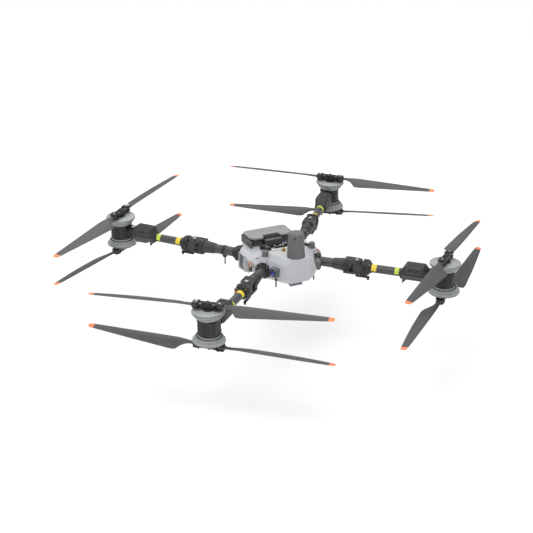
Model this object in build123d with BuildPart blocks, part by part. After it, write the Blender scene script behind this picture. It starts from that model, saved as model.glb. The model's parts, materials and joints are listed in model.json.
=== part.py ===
from build123d import *
import os
from math import cos, radians, sin

os.makedirs("parts", exist_ok=True)

# Agricultural spray drone: a centre section with four folding arms, two rotors on each arm.
# The origin is the centre of the payload face, the flat underside of the centre frame.
# The nose points along -Y and +Z is up. Lengths are millimetres, angles are degrees.

# ---------------------------------------------------------------- driving dimensions
ARM_Z = 60.0             # height of the arm axes above the payload face
ROTOR_X = 822.5          # rotor axes from the centre line
ROTOR_Y = 828.0          # rotor axes fore and aft of the origin
PIVOT_TO_ROTOR = 590.0   # fold pivot to rotor axis
PROP_RADIUS = 787.5
PROP_LIFT = 126.0        # lower propeller plane from the arm axis, along the motor axis
TOP_RAISE = 16.0         # the upper motor stands this much further from the arm axis
MOTOR_TILT = 2.0

INNER_TUBE_R = 32.0
OUTER_TUBE_R = 28.0
TUBE_WALL = 3.0
TUBE_GRIP = 110.0        # length of inner tube held inside the centre frame
FIT = 0.05               # radial clearance of a tube in its clamp and of a pin in its hole

JOINT_HALF_H = 44.0      # half height of the fold joint
JOINT_HALF_W = 40.0
EAR_INSIDE = 29.0        # half height of the gap between the fork's ears
FORK_WALL = 46.0         # pivot to the fork's back wall
FORK_BACK = 84.0
FOLD_PIN_R = 8.0

SHELL_WALL = 4.0
FRAME_X = 160.0
FRAME_FRONT = -190.0
FRAME_REAR = 130.0
FRAME_TOP = 102.0

BLADE_PIVOT = 75.0       # blade hinge from the rotor axis
BLADE_ROOT_R = 24.0
BLADE_ROOT_HALF_T = 7.3
BLADE_PIN_R = 5.0

# Each corner: side of the centre line, fore or aft, arm root in plan, and for the top and
# bottom rotors the blade's angle from the outward diagonal. turn is the top rotor's sense.
CORNERS = {
    "front_left": dict(sx=1, sy=-1, root=(190.0, -215.0), yaw=(86.3, 86.1), turn=-1, lever=1),
    "front_right": dict(sx=-1, sy=-1, root=(-190.0, -215.0), yaw=(92.8, 94.1), turn=1, lever=-1),
    "rear_left": dict(sx=1, sy=1, root=(230.0, 125.0), yaw=(95.9, 96.0), turn=1, lever=1),
    "rear_right": dict(sx=-1, sy=1, root=(-230.0, 125.0), yaw=(83.1, 82.8), turn=-1, lever=-1),
}
LEVELS = {"top": 1, "bottom": -1}


# ---------------------------------------------------------------- places
def outboard(corner):
    """Unit vector along the arm, from its root towards its rotor."""
    root = Vector(corner["root"][0], corner["root"][1], ARM_Z)
    return (rotor_centre(corner) - root).normalized()


def rotor_centre(corner):
    """Point where the arm axis meets the rotor axes."""
    return Vector(corner["sx"] * ROTOR_X, corner["sy"] * ROTOR_Y, ARM_Z)


def arm_point(corner, along, side=0.0, height=0.0):
    """Point `along` outboard of the fold pivot, `side` to the arm's left, `height` above it."""
    out = outboard(corner)
    left = Vector(-out.Y, out.X, 0)
    pivot = rotor_centre(corner) - out * PIVOT_TO_ROTOR
    return pivot + out * along + left * side + Vector(0, 0, height)


def level_plane(corner, along=0.0, side=0.0, height=0.0):
    """Horizontal plane with x along the arm."""
    return Plane(arm_point(corner, along, side, height), x_dir=outboard(corner), z_dir=(0, 0, 1))


def cross_plane(corner, along, side=0.0, height=0.0):
    """Plane across the arm that faces outboard, with x to the arm's left and y up."""
    out = outboard(corner)
    return Plane(arm_point(corner, along, side, height), x_dir=(-out.Y, out.X, 0), z_dir=out)


def side_plane(corner, along=0.0, side=0.0):
    """Vertical plane along the arm, with x outboard and y up."""
    out = outboard(corner)
    return Plane(arm_point(corner, along, side), x_dir=out, z_dir=(out.Y, -out.X, 0))


def root_distance(corner):
    """Distance from the fold pivot back to the arm's root at the shell."""
    root = Vector(corner["root"][0], corner["root"][1], ARM_Z)
    return (rotor_centre(corner) - root).length - PIVOT_TO_ROTOR


def motor_axis(corner, level):
    """Upward direction of a motor's axis, tilted about the outward diagonal."""
    diagonal = Vector(corner["sx"], corner["sy"], 0).normalized()
    tilt = radians(MOTOR_TILT) * level * corner["turn"]
    return Vector(0, 0, 1) * cos(tilt) + diagonal.cross(Vector(0, 0, 1)) * sin(tilt)


def motor_base(corner, level):
    """Point on the motor's axis that its heights are measured from."""
    raised = TOP_RAISE if level > 0 else 0.0
    return rotor_centre(corner) + motor_axis(corner, level) * raised


def axial_plane(corner, level):
    """Plane that holds the motor's axis: x is the radius and y runs away from the arm."""
    diagonal = Vector(corner["sx"], corner["sy"], 0).normalized()
    away = motor_axis(corner, level) * level
    return Plane(motor_base(corner, level), x_dir=diagonal, z_dir=diagonal.cross(away))


def disc_plane(corner, level, lift, yaw=0.0):
    """Plane across the motor's axis, with x along the blade and z away from the arm."""
    diagonal = Vector(corner["sx"], corner["sy"], 0).normalized()
    up = motor_axis(corner, level)
    blade = diagonal * cos(radians(yaw)) + up.cross(diagonal) * sin(radians(yaw))
    return Plane(motor_base(corner, level) + up * (lift * level), x_dir=blade, z_dir=up * level)


def motor_line(corner, level):
    """The motor's axis as an Axis for revolving."""
    return Axis(rotor_centre(corner), motor_axis(corner, level) * level)


def save(part, name):
    """Label a finished piece and write it as its own node."""
    part.label = name
    export_step(part, f"parts/{name}.step")


# ---------------------------------------------------------------- centre frame
FRAME_WALL = 12.0
CLAMP_L = 50.0
CLAMP_W = 80.0
PAYLOAD_HOLES_X = 240.0
PAYLOAD_HOLES_Y = 200.0
PAYLOAD_HOLE_R = 4.25
PAYLOAD_CLEARANCE = 30.0
PAYLOAD_MARGIN = 20.0    # the arm clamps widen the face past the frame's sides
FRAME_LENGTH = FRAME_REAR - FRAME_FRONT
FRAME_MID_Y = (FRAME_REAR + FRAME_FRONT) / 2

with BuildPart() as centre_frame:
    with BuildSketch():
        with Locations((0, FRAME_MID_Y)):
            Rectangle(2 * FRAME_X, FRAME_LENGTH)
    extrude(amount=FRAME_TOP)
    fillet(centre_frame.edges().filter_by(Axis.Z), radius=20)
    with BuildSketch(Plane.XY.offset(FRAME_WALL)):
        with Locations((0, FRAME_MID_Y)):
            RectangleRounded(2 * (FRAME_X - FRAME_WALL), FRAME_LENGTH - 2 * FRAME_WALL, 10)
    extrude(amount=FRAME_TOP, mode=Mode.SUBTRACT)
    for corner in CORNERS.values():
        clamp_mid = -root_distance(corner) - TUBE_GRIP + CLAMP_L / 2
        with BuildSketch(level_plane(corner, clamp_mid, height=-ARM_Z)):
            Rectangle(CLAMP_L, CLAMP_W)
        extrude(amount=FRAME_TOP - 2)
    for corner in CORNERS.values():
        with BuildSketch(cross_plane(corner, -root_distance(corner) - TUBE_GRIP)):
            Circle(INNER_TUBE_R + FIT)
        extrude(amount=2 * TUBE_GRIP, mode=Mode.SUBTRACT)
    with BuildSketch():
        with GridLocations(PAYLOAD_HOLES_X, PAYLOAD_HOLES_Y, 2, 2):
            Circle(PAYLOAD_HOLE_R)
    extrude(amount=FRAME_WALL, mode=Mode.SUBTRACT)
save(centre_frame.part, "centre_frame")

# The electronics box stands on the frame's floor between the arm clamps.
ELECTRONICS_Y = -60.0
ELECTRONICS_W = 96.0
ELECTRONICS_L = 150.0
ELECTRONICS_H = 52.0

with BuildPart() as flight_electronics:
    with BuildSketch(Plane.XY.offset(FRAME_WALL)):
        with Locations((0, ELECTRONICS_Y)):
            RectangleRounded(ELECTRONICS_W, ELECTRONICS_L, 6)
    extrude(amount=ELECTRONICS_H)
    fillet(flight_electronics.faces().sort_by(Axis.Z)[-1].edges(), radius=3)
save(flight_electronics.part, "flight_electronics")

# ---------------------------------------------------------------- nose shell
# Half outlines of the faceted nose: station y, then (x, z above the arm axis) from the flat
# top down to the flat belly.
NOSE_STATIONS = [
    (-108.0, [(130, 52), (205, 46), (240, 24), (240, -40), (205, -64)]),
    (-160.0, [(130, 58), (196, 56), (234, 26), (230, -42), (184, -68)]),
    (-170.0, [(130, 104), (192, 66), (228, 26), (222, -44), (176, -70)]),
    (-240.0, [(118, 107), (160, 76), (178, 24), (164, -58), (124, -74)]),
    (-320.0, [(92, 107), (124, 72), (142, 12), (124, -52), (84, -74)]),
    (-378.0, [(66, 107), (100, 68), (124, 16), (102, -30), (62, -56)]),
    (-406.0, [(48, 34), (64, 24), (70, 2), (64, -20), (46, -40)]),
]
COLLAR_R = 50.0
KNOB_X = 171.0
KNOB_Y = -201.0
KNOB_BOSS_TOP = 92.0     # above the arm axis
LATCH_Y = -141.0
LATCH_X = 250.0
LATCH_Z = 30.0           # above the arm axis
LATCH_HALF_W = 14.5
LATCH_EAR = 4.5
LATCH_PIN_R = 3.0
CAMERA_POINT = (150.0, -316.0, ARM_Z + 20.0)
CAMERA_SIZE = 60.0
CAMERA_INSET = 14.0
CAMERA_PROUD = 24.0
LENS_R = 17.0
LENS_DEPTH = 12.0


def camera_plane(side):
    """Plane where a side camera passes through the nose, facing outwards."""
    origin = (side * CAMERA_POINT[0], CAMERA_POINT[1], CAMERA_POINT[2])
    outward = Vector(side * 0.92, -0.39, 0).normalized()
    return Plane(origin, x_dir=(-outward.Y, outward.X, 0), z_dir=outward)


def nose_sketch(station, inset):
    """Ten-sided cross-section of the nose, made smaller all round by `inset`."""
    y, half = station
    right = [(x - inset, ARM_Z + z - inset * (1 if z > 0 else -1)) for x, z in half]
    left = [(-x, z) for x, z in reversed(right)]
    with BuildSketch(Plane(origin=(0, y, 0), x_dir=(1, 0, 0), z_dir=(0, -1, 0))) as section:
        Polygon(*right, *left, align=None)
    return section.sketch


with BuildPart() as nose_shell:
    loft([nose_sketch(station, 0) for station in NOSE_STATIONS], ruled=True)
    for side in (-1, 1):
        with BuildSketch(Plane.XY.offset(ARM_Z + 20)):
            with Locations((side * KNOB_X, KNOB_Y)):
                Circle(29)
        extrude(amount=KNOB_BOSS_TOP - 20)
        for end in (-1, 1):
            ear_y = LATCH_Y + end * (LATCH_HALF_W + LATCH_EAR / 2 + 0.5)
            with BuildSketch(Plane(origin=(0, ear_y, ARM_Z), x_dir=(1, 0, 0), z_dir=(0, -1, 0))):
                with Locations((side * (LATCH_X - 20), LATCH_Z)):
                    Rectangle(54, 18)
            extrude(amount=LATCH_EAR / 2, both=True)
    inner_stations = [(y - SHELL_WALL, half) for y, half in NOSE_STATIONS]
    inner_stations[0] = (NOSE_STATIONS[0][0] + 1, NOSE_STATIONS[0][1])
    inner_stations[-1] = (NOSE_STATIONS[-1][0] + SHELL_WALL, NOSE_STATIONS[-1][1])
    inner_sections = [nose_sketch(station, SHELL_WALL) for station in inner_stations]
    loft(inner_sections, ruled=True, mode=Mode.SUBTRACT)
    # The belly is open below the centre frame, so that a payload's plate reaches its face.
    with BuildSketch(Plane.XY):
        with Locations((0, FRAME_MID_Y)):
            Rectangle(2 * (FRAME_X + PAYLOAD_MARGIN), FRAME_LENGTH + 2 * PAYLOAD_MARGIN)
    extrude(amount=-PAYLOAD_CLEARANCE, mode=Mode.SUBTRACT)
    for name in ("front_left", "front_right"):
        corner = CORNERS[name]
        with BuildSketch(cross_plane(corner, -root_distance(corner) - TUBE_GRIP)):
            Circle(COLLAR_R + 3)
        extrude(amount=2 * TUBE_GRIP, mode=Mode.SUBTRACT)
    for side in (-1, 1):
        with BuildSketch(camera_plane(side).offset(-CAMERA_INSET - 10)):
            Rectangle(CAMERA_SIZE + 0.4, CAMERA_SIZE + 0.4)
        extrude(amount=60, mode=Mode.SUBTRACT)
    with BuildSketch(Plane(origin=(0, LATCH_Y, ARM_Z), x_dir=(1, 0, 0), z_dir=(0, -1, 0))):
        with Locations((-LATCH_X, LATCH_Z), (LATCH_X, LATCH_Z)):
            Circle(LATCH_PIN_R + FIT)
    extrude(amount=2 * LATCH_HALF_W, both=True, mode=Mode.SUBTRACT)
save(nose_shell.part, "nose_shell")

# ---------------------------------------------------------------- rear shell
REAR_X = 236.0
REAR_FRONT = -106.0
REAR_CORNER = 76.0       # where the side walls turn in towards the battery
REAR_END = 190.0
REAR_LOW = -68.0         # above the arm axis
DECK_T = 4.0
BAY_X = 166.0
BAY_FRONT = 24.0
VENT_Y = 22.0
VENT_LENGTH = 96.0
VENT_LOW = -84.0         # above the arm axis
VENT_HIGH = 34.0
VENT_DEPTH = 12.0

with BuildPart() as rear_shell:
    with BuildSketch(Plane.XY.offset(ARM_Z + REAR_LOW)):
        Polygon(
            (-REAR_X, REAR_FRONT), (REAR_X, REAR_FRONT), (REAR_X, REAR_CORNER),
            (BAY_X + 4, REAR_END), (-BAY_X - 4, REAR_END), (-REAR_X, REAR_CORNER),
            align=None,
        )
    extrude(amount=FRAME_TOP + DECK_T - ARM_Z - REAR_LOW)
    with BuildSketch(Plane.XY.offset(ARM_Z + REAR_LOW)):
        inside_x = REAR_X - SHELL_WALL
        Polygon(
            (-inside_x, REAR_FRONT - 10), (inside_x, REAR_FRONT - 10),
            (inside_x, REAR_CORNER - 2), (BAY_X, REAR_END - SHELL_WALL),
            (-BAY_X, REAR_END - SHELL_WALL), (-inside_x, REAR_CORNER - 2),
            align=None,
        )
    extrude(amount=FRAME_TOP - ARM_Z - REAR_LOW, mode=Mode.SUBTRACT)
    with BuildSketch(Plane.XY.offset(FRAME_TOP)):
        with Locations((0, BAY_FRONT)):
            Rectangle(2 * BAY_X + 4, REAR_END, align=(Align.CENTER, Align.MIN))
    extrude(amount=DECK_T, mode=Mode.SUBTRACT)
    for side in (-1, 1):
        vent_origin = (side * (REAR_X - 2), VENT_Y, ARM_Z)
        vent_plane = Plane(origin=vent_origin, x_dir=(0, side, 0), z_dir=(side, 0, 0))
        with BuildSketch(vent_plane):
            with Locations((0, (VENT_LOW + VENT_HIGH) / 2)):
                Rectangle(VENT_LENGTH, VENT_HIGH - VENT_LOW)
        extrude(amount=VENT_DEPTH + 2)
        with BuildSketch(vent_plane.offset(8)):
            with Locations((0, (VENT_LOW + VENT_HIGH) / 2)):
                Rectangle(VENT_LENGTH - 16, VENT_HIGH - VENT_LOW - 20)
        extrude(amount=VENT_DEPTH, mode=Mode.SUBTRACT)
    for name in ("rear_left", "rear_right"):
        corner = CORNERS[name]
        with BuildSketch(cross_plane(corner, -root_distance(corner) - TUBE_GRIP)):
            Circle(COLLAR_R + 3)
        extrude(amount=2 * TUBE_GRIP, mode=Mode.SUBTRACT)
save(rear_shell.part, "rear_shell")

# ---------------------------------------------------------------- pieces on the nose
TOWER_Y = -314.0
TOWER_BASE = ARM_Z + 107.2
TOWER_H = 166.0
TOWER_BASE_R = 60.0
TOWER_TOP_R = 50.0
KNOB_FLANGE_R = 24.0
KNOB_FLANGE_T = 6.0
KNOB_R = 20.5
KNOB_H = 42.0

with BuildPart() as sensor_tower:
    with BuildSketch(Plane(origin=(0, TOWER_Y, TOWER_BASE), x_dir=(1, 0, 0), z_dir=(0, -1, 0))):
        with BuildLine():
            Polyline((0, TOWER_H), (TOWER_TOP_R - 8, TOWER_H))
            SagittaArc((TOWER_TOP_R - 8, TOWER_H), (TOWER_TOP_R, TOWER_H - 8), -2.3)
            Polyline(
                (TOWER_TOP_R, TOWER_H - 8),
                (TOWER_BASE_R, 0),
                (TOWER_BASE_R - SHELL_WALL, 0),
                (TOWER_TOP_R - SHELL_WALL, TOWER_H - 12),
                (TOWER_TOP_R - 12, TOWER_H - SHELL_WALL),
                (0, TOWER_H - SHELL_WALL),
                (0, TOWER_H),
            )
        make_face()
    revolve(axis=Axis((0, TOWER_Y, 0), (0, 0, 1)))
save(sensor_tower.part, "sensor_tower")

with BuildPart() as antenna_knobs:
    with BuildSketch(Plane.XY.offset(ARM_Z + KNOB_BOSS_TOP + 0.2)):
        with Locations((-KNOB_X, KNOB_Y), (KNOB_X, KNOB_Y)):
            Circle(KNOB_FLANGE_R)
    extrude(amount=KNOB_FLANGE_T)
    with BuildSketch(Plane.XY.offset(ARM_Z + KNOB_BOSS_TOP + KNOB_FLANGE_T)):
        with Locations((-KNOB_X, KNOB_Y), (KNOB_X, KNOB_Y)):
            Circle(KNOB_R)
    extrude(amount=KNOB_H)
    fillet(antenna_knobs.edges().group_by(Axis.Z)[-1], radius=5)
save(antenna_knobs.part, "antenna_knobs")

# Square camera housings stand on the nose's sides, and look outwards and slightly forwards.
# Each lens is a solid of its own in the same node.
with BuildPart() as side_cameras:
    for side in (-1, 1):
        with BuildSketch(camera_plane(side).offset(-CAMERA_INSET)):
            RectangleRounded(CAMERA_SIZE, CAMERA_SIZE, 6)
        extrude(amount=CAMERA_INSET + CAMERA_PROUD)
        with BuildSketch(camera_plane(side).offset(CAMERA_PROUD - LENS_DEPTH)):
            Circle(LENS_R + 0.2)
        extrude(amount=LENS_DEPTH, mode=Mode.SUBTRACT)
    for side in (-1, 1):
        with BuildSketch(camera_plane(side).offset(CAMERA_PROUD - LENS_DEPTH)):
            Circle(LENS_R)
        extrude(amount=LENS_DEPTH - 2)
save(side_cameras.part, "side_cameras")

CHIN_TOP = ARM_Z - 74.6
CHIN_H = 28.0
CHIN_Y = -292.0
CHIN_TOP_SIZE = (104.0, 84.0)
CHIN_LOW_SIZE = (84.0, 62.0)

with BuildPart() as chin_sensor:
    with BuildSketch(Plane.XY.offset(CHIN_TOP)):
        with Locations((0, CHIN_Y)):
            Rectangle(*CHIN_TOP_SIZE)
    with BuildSketch(Plane.XY.offset(CHIN_TOP - CHIN_H)):
        with Locations((0, CHIN_Y + 2)):
            Rectangle(*CHIN_LOW_SIZE)
    loft(ruled=True)
    fillet(chin_sensor.edges().filter_by(Axis.Z, reverse=True).group_by(Axis.Z)[0], radius=3)
save(chin_sensor.part, "chin_sensor")

# ---------------------------------------------------------------- battery and its bay
BAY_REAR = 208.0
BAY_FLOOR_T = 5.0
RAIL_H = 47.0
PACK_GAP = 1.0
PACK_X = 150.0
PACK_FRONT = 62.0
PACK_REAR = 198.0
SLAB_X = 158.0
SLAB_FRONT = 56.0
SLAB_REAR = 214.0
SLAB_LOW = FRAME_TOP + BAY_FLOOR_T + RAIL_H + 2
SLAB_T = 14.0
HANDLE_X = 66.0
HANDLE_Y = 104.0

with BuildPart() as battery_bay:
    with BuildSketch(Plane.XY.offset(FRAME_TOP)):
        with Locations((0, BAY_FRONT + 2)):
            Rectangle(2 * BAY_X, BAY_REAR - BAY_FRONT - 2, align=(Align.CENTER, Align.MIN))
    extrude(amount=BAY_FLOOR_T)
    with BuildSketch(Plane.XY.offset(FRAME_TOP + BAY_FLOOR_T)):
        for side in (-1, 1):
            with Locations((side * (BAY_X - 4), (BAY_FRONT + BAY_REAR) / 2)):
                Rectangle(8, BAY_REAR - BAY_FRONT - 30)
        with Locations((0, BAY_REAR - 3)):
            Rectangle(2 * BAY_X, 6)
        with Locations((0, BAY_FRONT + 18)):
            Rectangle(120, 28)
    extrude(amount=RAIL_H)
save(battery_bay.part, "battery_bay")

with BuildPart() as battery_pack:
    with BuildSketch(Plane.XY.offset(FRAME_TOP + BAY_FLOOR_T + PACK_GAP)):
        with Locations((0, (PACK_FRONT + PACK_REAR) / 2)):
            RectangleRounded(2 * PACK_X, PACK_REAR - PACK_FRONT, 8)
    extrude(amount=SLAB_LOW - FRAME_TOP - BAY_FLOOR_T)
    with BuildSketch(Plane.XY.offset(SLAB_LOW)) as slab_outline:
        with Locations((0, (SLAB_FRONT + SLAB_REAR) / 2)):
            Rectangle(2 * SLAB_X, SLAB_REAR - SLAB_FRONT)
        chamfer(slab_outline.vertices(), length=16)
    extrude(amount=SLAB_T)
    chamfer(battery_pack.faces().sort_by(Axis.Z)[-1].edges(), length=6)
    with BuildSketch(Plane.XY.offset(SLAB_LOW - 12)):
        with Locations((0, SLAB_FRONT)):
            Rectangle(2 * HANDLE_X, 2 * (HANDLE_Y - SLAB_FRONT))
    extrude(amount=60, mode=Mode.SUBTRACT)
save(battery_pack.part, "battery_pack")

# ---------------------------------------------------------------- side latches
for side, name in ((1, "side_latch_left"), (-1, "side_latch_right")):
    with BuildPart() as side_latch:
        with BuildSketch(Plane(origin=(0, LATCH_Y, ARM_Z), x_dir=(1, 0, 0), z_dir=(0, -1, 0))):
            with Locations((side * LATCH_X, LATCH_Z)):
                Circle(7)
            with Locations((side * LATCH_X, LATCH_Z - 28)):
                Rectangle(9, 56)
        extrude(amount=LATCH_HALF_W - 0.5, both=True)
        with BuildSketch(Plane(origin=(0, LATCH_Y, ARM_Z), x_dir=(1, 0, 0), z_dir=(0, -1, 0))):
            with Locations((side * LATCH_X, LATCH_Z)):
                Circle(LATCH_PIN_R)
        extrude(amount=LATCH_HALF_W + LATCH_EAR, both=True)
        with BuildSketch(Plane(origin=(0, LATCH_Y, ARM_Z), x_dir=(0, 1, 0), z_dir=(1, 0, 0))):
            with Locations((0, LATCH_Z - 42)):
                Rectangle(16, 14)
        extrude(amount=2 * LATCH_X, both=True, mode=Mode.SUBTRACT)
    save(side_latch.part, name)

# ---------------------------------------------------------------- fixed half of the arms
CONE_END = 160.0

with BuildPart() as inner_arm_tubes:
    for corner in CORNERS.values():
        tube_start = -root_distance(corner) - TUBE_GRIP + 4
        with BuildSketch(cross_plane(corner, tube_start)):
            Circle(INNER_TUBE_R)
            Circle(INNER_TUBE_R - TUBE_WALL, mode=Mode.SUBTRACT)
        extrude(amount=-tube_start - FORK_BACK - 6)
save(inner_arm_tubes.part, "inner_arm_tubes")

with BuildPart() as arm_root_collars:
    for corner in CORNERS.values():
        root_along = -root_distance(corner)
        with BuildSketch(side_plane(corner, root_along)):
            with BuildLine():
                Polyline(
                    (-6, INNER_TUBE_R + FIT),
                    (-6, COLLAR_R),
                    (4, COLLAR_R),
                    (10, INNER_TUBE_R + 8),
                    (24, INNER_TUBE_R + 4),
                    (24, INNER_TUBE_R + FIT),
                    close=True,
                )
            make_face()
        revolve(axis=Axis(arm_point(corner, root_along), outboard(corner)))
save(arm_root_collars.part, "arm_root_collars")

with BuildPart() as fold_forks:
    for corner in CORNERS.values():
        with BuildSketch(level_plane(corner, height=-JOINT_HALF_H)):
            Circle(JOINT_HALF_W)
            with Locations((-FORK_BACK / 2, 0)):
                Rectangle(FORK_BACK, 2 * JOINT_HALF_W)
        extrude(amount=2 * JOINT_HALF_H)
        with BuildSketch(level_plane(corner, height=-EAR_INSIDE)):
            with Locations((-FORK_WALL, 0)):
                Rectangle(3 * JOINT_HALF_W, 4 * JOINT_HALF_W, align=(Align.MIN, Align.CENTER))
        extrude(amount=2 * EAR_INSIDE, mode=Mode.SUBTRACT)
        with BuildSketch(side_plane(corner)):
            with BuildLine():
                Polyline(
                    (-FORK_BACK, INNER_TUBE_R + FIT),
                    (-FORK_BACK, JOINT_HALF_W + 4),
                    (-CONE_END, INNER_TUBE_R + 4),
                    (-CONE_END, INNER_TUBE_R + FIT),
                    close=True,
                )
            make_face()
        revolve(axis=Axis(arm_point(corner, 0), outboard(corner)))
        with BuildSketch(cross_plane(corner, -FORK_BACK - 6)):
            Circle(INNER_TUBE_R + FIT)
        extrude(amount=6, mode=Mode.SUBTRACT)
        with BuildSketch(level_plane(corner, height=-JOINT_HALF_H)):
            Circle(FOLD_PIN_R + FIT)
        extrude(amount=2 * JOINT_HALF_H, mode=Mode.SUBTRACT)
save(fold_forks.part, "fold_forks")

with BuildPart() as fold_pins:
    for corner in CORNERS.values():
        with BuildSketch(level_plane(corner, height=-JOINT_HALF_H - 5)):
            Circle(FOLD_PIN_R)
        extrude(amount=2 * JOINT_HALF_H + 10)
        for end in (-1, 1):
            with BuildSketch(level_plane(corner, height=end * (JOINT_HALF_H + 3))):
                RegularPolygon(14, 6)
            extrude(amount=2.8, both=True)
save(fold_pins.part, "fold_pins")

# ---------------------------------------------------------------- moving half of the arms
KNUCKLE_R = 38.0
KNUCKLE_HALF_H = 28.6
BLOCK_START = 42.0
BLOCK_END = 78.0
BLOCK_HALF_W = 38.0
FLANGE_T = 8.0
SOCKET_START = 54.0
LEVER_ALONG = 72.0
LEVER_SIDE = 48.0
LEVER_LENGTH = 28.0
LEVER_HALF_H = 14.0
LEVER_PIN_R = 3.0
LUG_T = 4.0

ESC_START = 300.0
ESC_END = 486.0
ESC_LOW = -34.0
ESC_HIGH = 70.0
ESC_HALF_W = 46.0
MOUNT_HALF = 61.0
MOUNT_HALF_H = 44.0
MOUNT_BEVEL = 22.0
COLLAR_START = 496.0
TUBE_END = 545.0

STATOR_PROFILE = [(0, 38), (70, 38), (70, 56), (78, 56), (78, 86), (18, 86), (18, 52), (0, 52)]

for place, corner in CORNERS.items():
    lever_side = corner["lever"]
    with BuildPart() as fold_knuckle:
        with BuildSketch(level_plane(corner, height=-KNUCKLE_HALF_H)):
            Circle(KNUCKLE_R)
            with Locations((BLOCK_START / 2, 0)):
                Rectangle(BLOCK_START, 1.8 * KNUCKLE_R)
        extrude(amount=2 * KNUCKLE_HALF_H)
        with BuildSketch(level_plane(corner, BLOCK_START, height=-JOINT_HALF_H)):
            Rectangle(BLOCK_END - BLOCK_START, 2 * BLOCK_HALF_W, align=(Align.MIN, Align.CENTER))
        extrude(amount=2 * JOINT_HALF_H)
        with BuildSketch(cross_plane(corner, BLOCK_END)):
            RectangleRounded(2 * BLOCK_HALF_W + 4, 2 * JOINT_HALF_H - 2, 16)
        extrude(amount=FLANGE_T)
        with BuildSketch(cross_plane(corner, BLOCK_END + FLANGE_T)):
            Circle(OUTER_TUBE_R + 7)
        extrude(amount=14)
        for end in (-1, 1):
            lug_height = end * (LEVER_HALF_H + LUG_T / 2 + 0.5)
            with BuildSketch(level_plane(corner, LEVER_ALONG, lever_side * LEVER_SIDE, lug_height)):
                with Locations((0, -lever_side * 4)):
                    Rectangle(13, 20)
            extrude(amount=LUG_T / 2, both=True)
        with BuildSketch(cross_plane(corner, SOCKET_START)):
            Circle(OUTER_TUBE_R + FIT)
        extrude(amount=100, mode=Mode.SUBTRACT)
        with BuildSketch(level_plane(corner, height=-KNUCKLE_HALF_H)):
            Circle(FOLD_PIN_R + FIT)
        extrude(amount=2 * KNUCKLE_HALF_H, mode=Mode.SUBTRACT)
        with BuildSketch(level_plane(corner, LEVER_ALONG, lever_side * LEVER_SIDE, -30)):
            Circle(LEVER_PIN_R + FIT)
        extrude(amount=60, mode=Mode.SUBTRACT)
    save(fold_knuckle.part, f"fold_knuckle_{place}")

    with BuildPart() as fold_latch:
        with BuildSketch(level_plane(corner, LEVER_ALONG, lever_side * LEVER_SIDE, -LEVER_HALF_H)):
            Circle(6)
            with Locations((-LEVER_LENGTH / 2, lever_side * 1.5)):
                Rectangle(LEVER_LENGTH, 8)
        extrude(amount=2 * LEVER_HALF_H)
        pin_half = LEVER_HALF_H + LUG_T + 0.5
        with BuildSketch(level_plane(corner, LEVER_ALONG, lever_side * LEVER_SIDE, -pin_half)):
            Circle(LEVER_PIN_R)
        extrude(amount=2 * pin_half)
    save(fold_latch.part, f"fold_latch_{place}")

    with BuildPart() as outer_tube:
        with BuildSketch(cross_plane(corner, SOCKET_START + 1)):
            Circle(OUTER_TUBE_R)
            Circle(OUTER_TUBE_R - TUBE_WALL, mode=Mode.SUBTRACT)
        extrude(amount=TUBE_END - SOCKET_START - 2)
    save(outer_tube.part, f"outer_tube_{place}")

    with BuildPart() as esc_housing:
        with BuildSketch(side_plane(corner)):
            with BuildLine():
                Polyline(
                    (ESC_START, ESC_LOW + 16),
                    (ESC_START + 6, ESC_HIGH - 50),
                    (ESC_START + 34, ESC_HIGH),
                    (ESC_END - 30, ESC_HIGH),
                    (ESC_END, ESC_HIGH - 34),
                    (ESC_END, ESC_LOW),
                    (ESC_START + 30, ESC_LOW),
                    close=True,
                )
            make_face()
        extrude(amount=ESC_HALF_W, both=True)
        long_edges = esc_housing.edges().filter_by(Axis((0, 0, 0), outboard(corner)))
        chamfer(long_edges.group_by(Axis.Z)[-1], length=10)
        long_edges = esc_housing.edges().filter_by(Axis((0, 0, 0), outboard(corner)))
        chamfer(long_edges.group_by(Axis.Z)[0], length=14)
        with BuildSketch(side_plane(corner)):
            with BuildLine():
                Polyline(
                    (ESC_START + 10, ESC_LOW + 10),
                    (ESC_START + 40, ESC_LOW - 42),
                    (ESC_START + 48, ESC_LOW - 38),
                    (ESC_START + 42, ESC_LOW + 10),
                    close=True,
                )
            make_face()
        extrude(amount=6, both=True)
        with BuildSketch(cross_plane(corner, ESC_START - 20)):
            Circle(OUTER_TUBE_R + FIT)
        extrude(amount=ESC_END - ESC_START + 40, mode=Mode.SUBTRACT)
    save(esc_housing.part, f"esc_housing_{place}")

    with BuildPart() as motor_mount:
        with BuildSketch(level_plane(corner, PIVOT_TO_ROTOR, height=-MOUNT_HALF_H)) as mount_outline:
            Rectangle(2 * MOUNT_HALF, 2 * MOUNT_HALF - 4)
            chamfer(mount_outline.vertices(), length=MOUNT_BEVEL)
        extrude(amount=2 * MOUNT_HALF_H + TOP_RAISE)
        for level in LEVELS.values():
            with BuildSketch(axial_plane(corner, level)):
                Polygon(*STATOR_PROFILE, align=None)
            revolve(axis=motor_line(corner, level))
        with BuildSketch(cross_plane(corner, COLLAR_START)):
            Circle(OUTER_TUBE_R + 8)
        extrude(amount=PIVOT_TO_ROTOR - COLLAR_START)
        with BuildSketch(cross_plane(corner, COLLAR_START)):
            Circle(OUTER_TUBE_R + FIT)
        extrude(amount=TUBE_END - COLLAR_START, mode=Mode.SUBTRACT)
    save(motor_mount.part, f"motor_mount_{place}")

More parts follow.
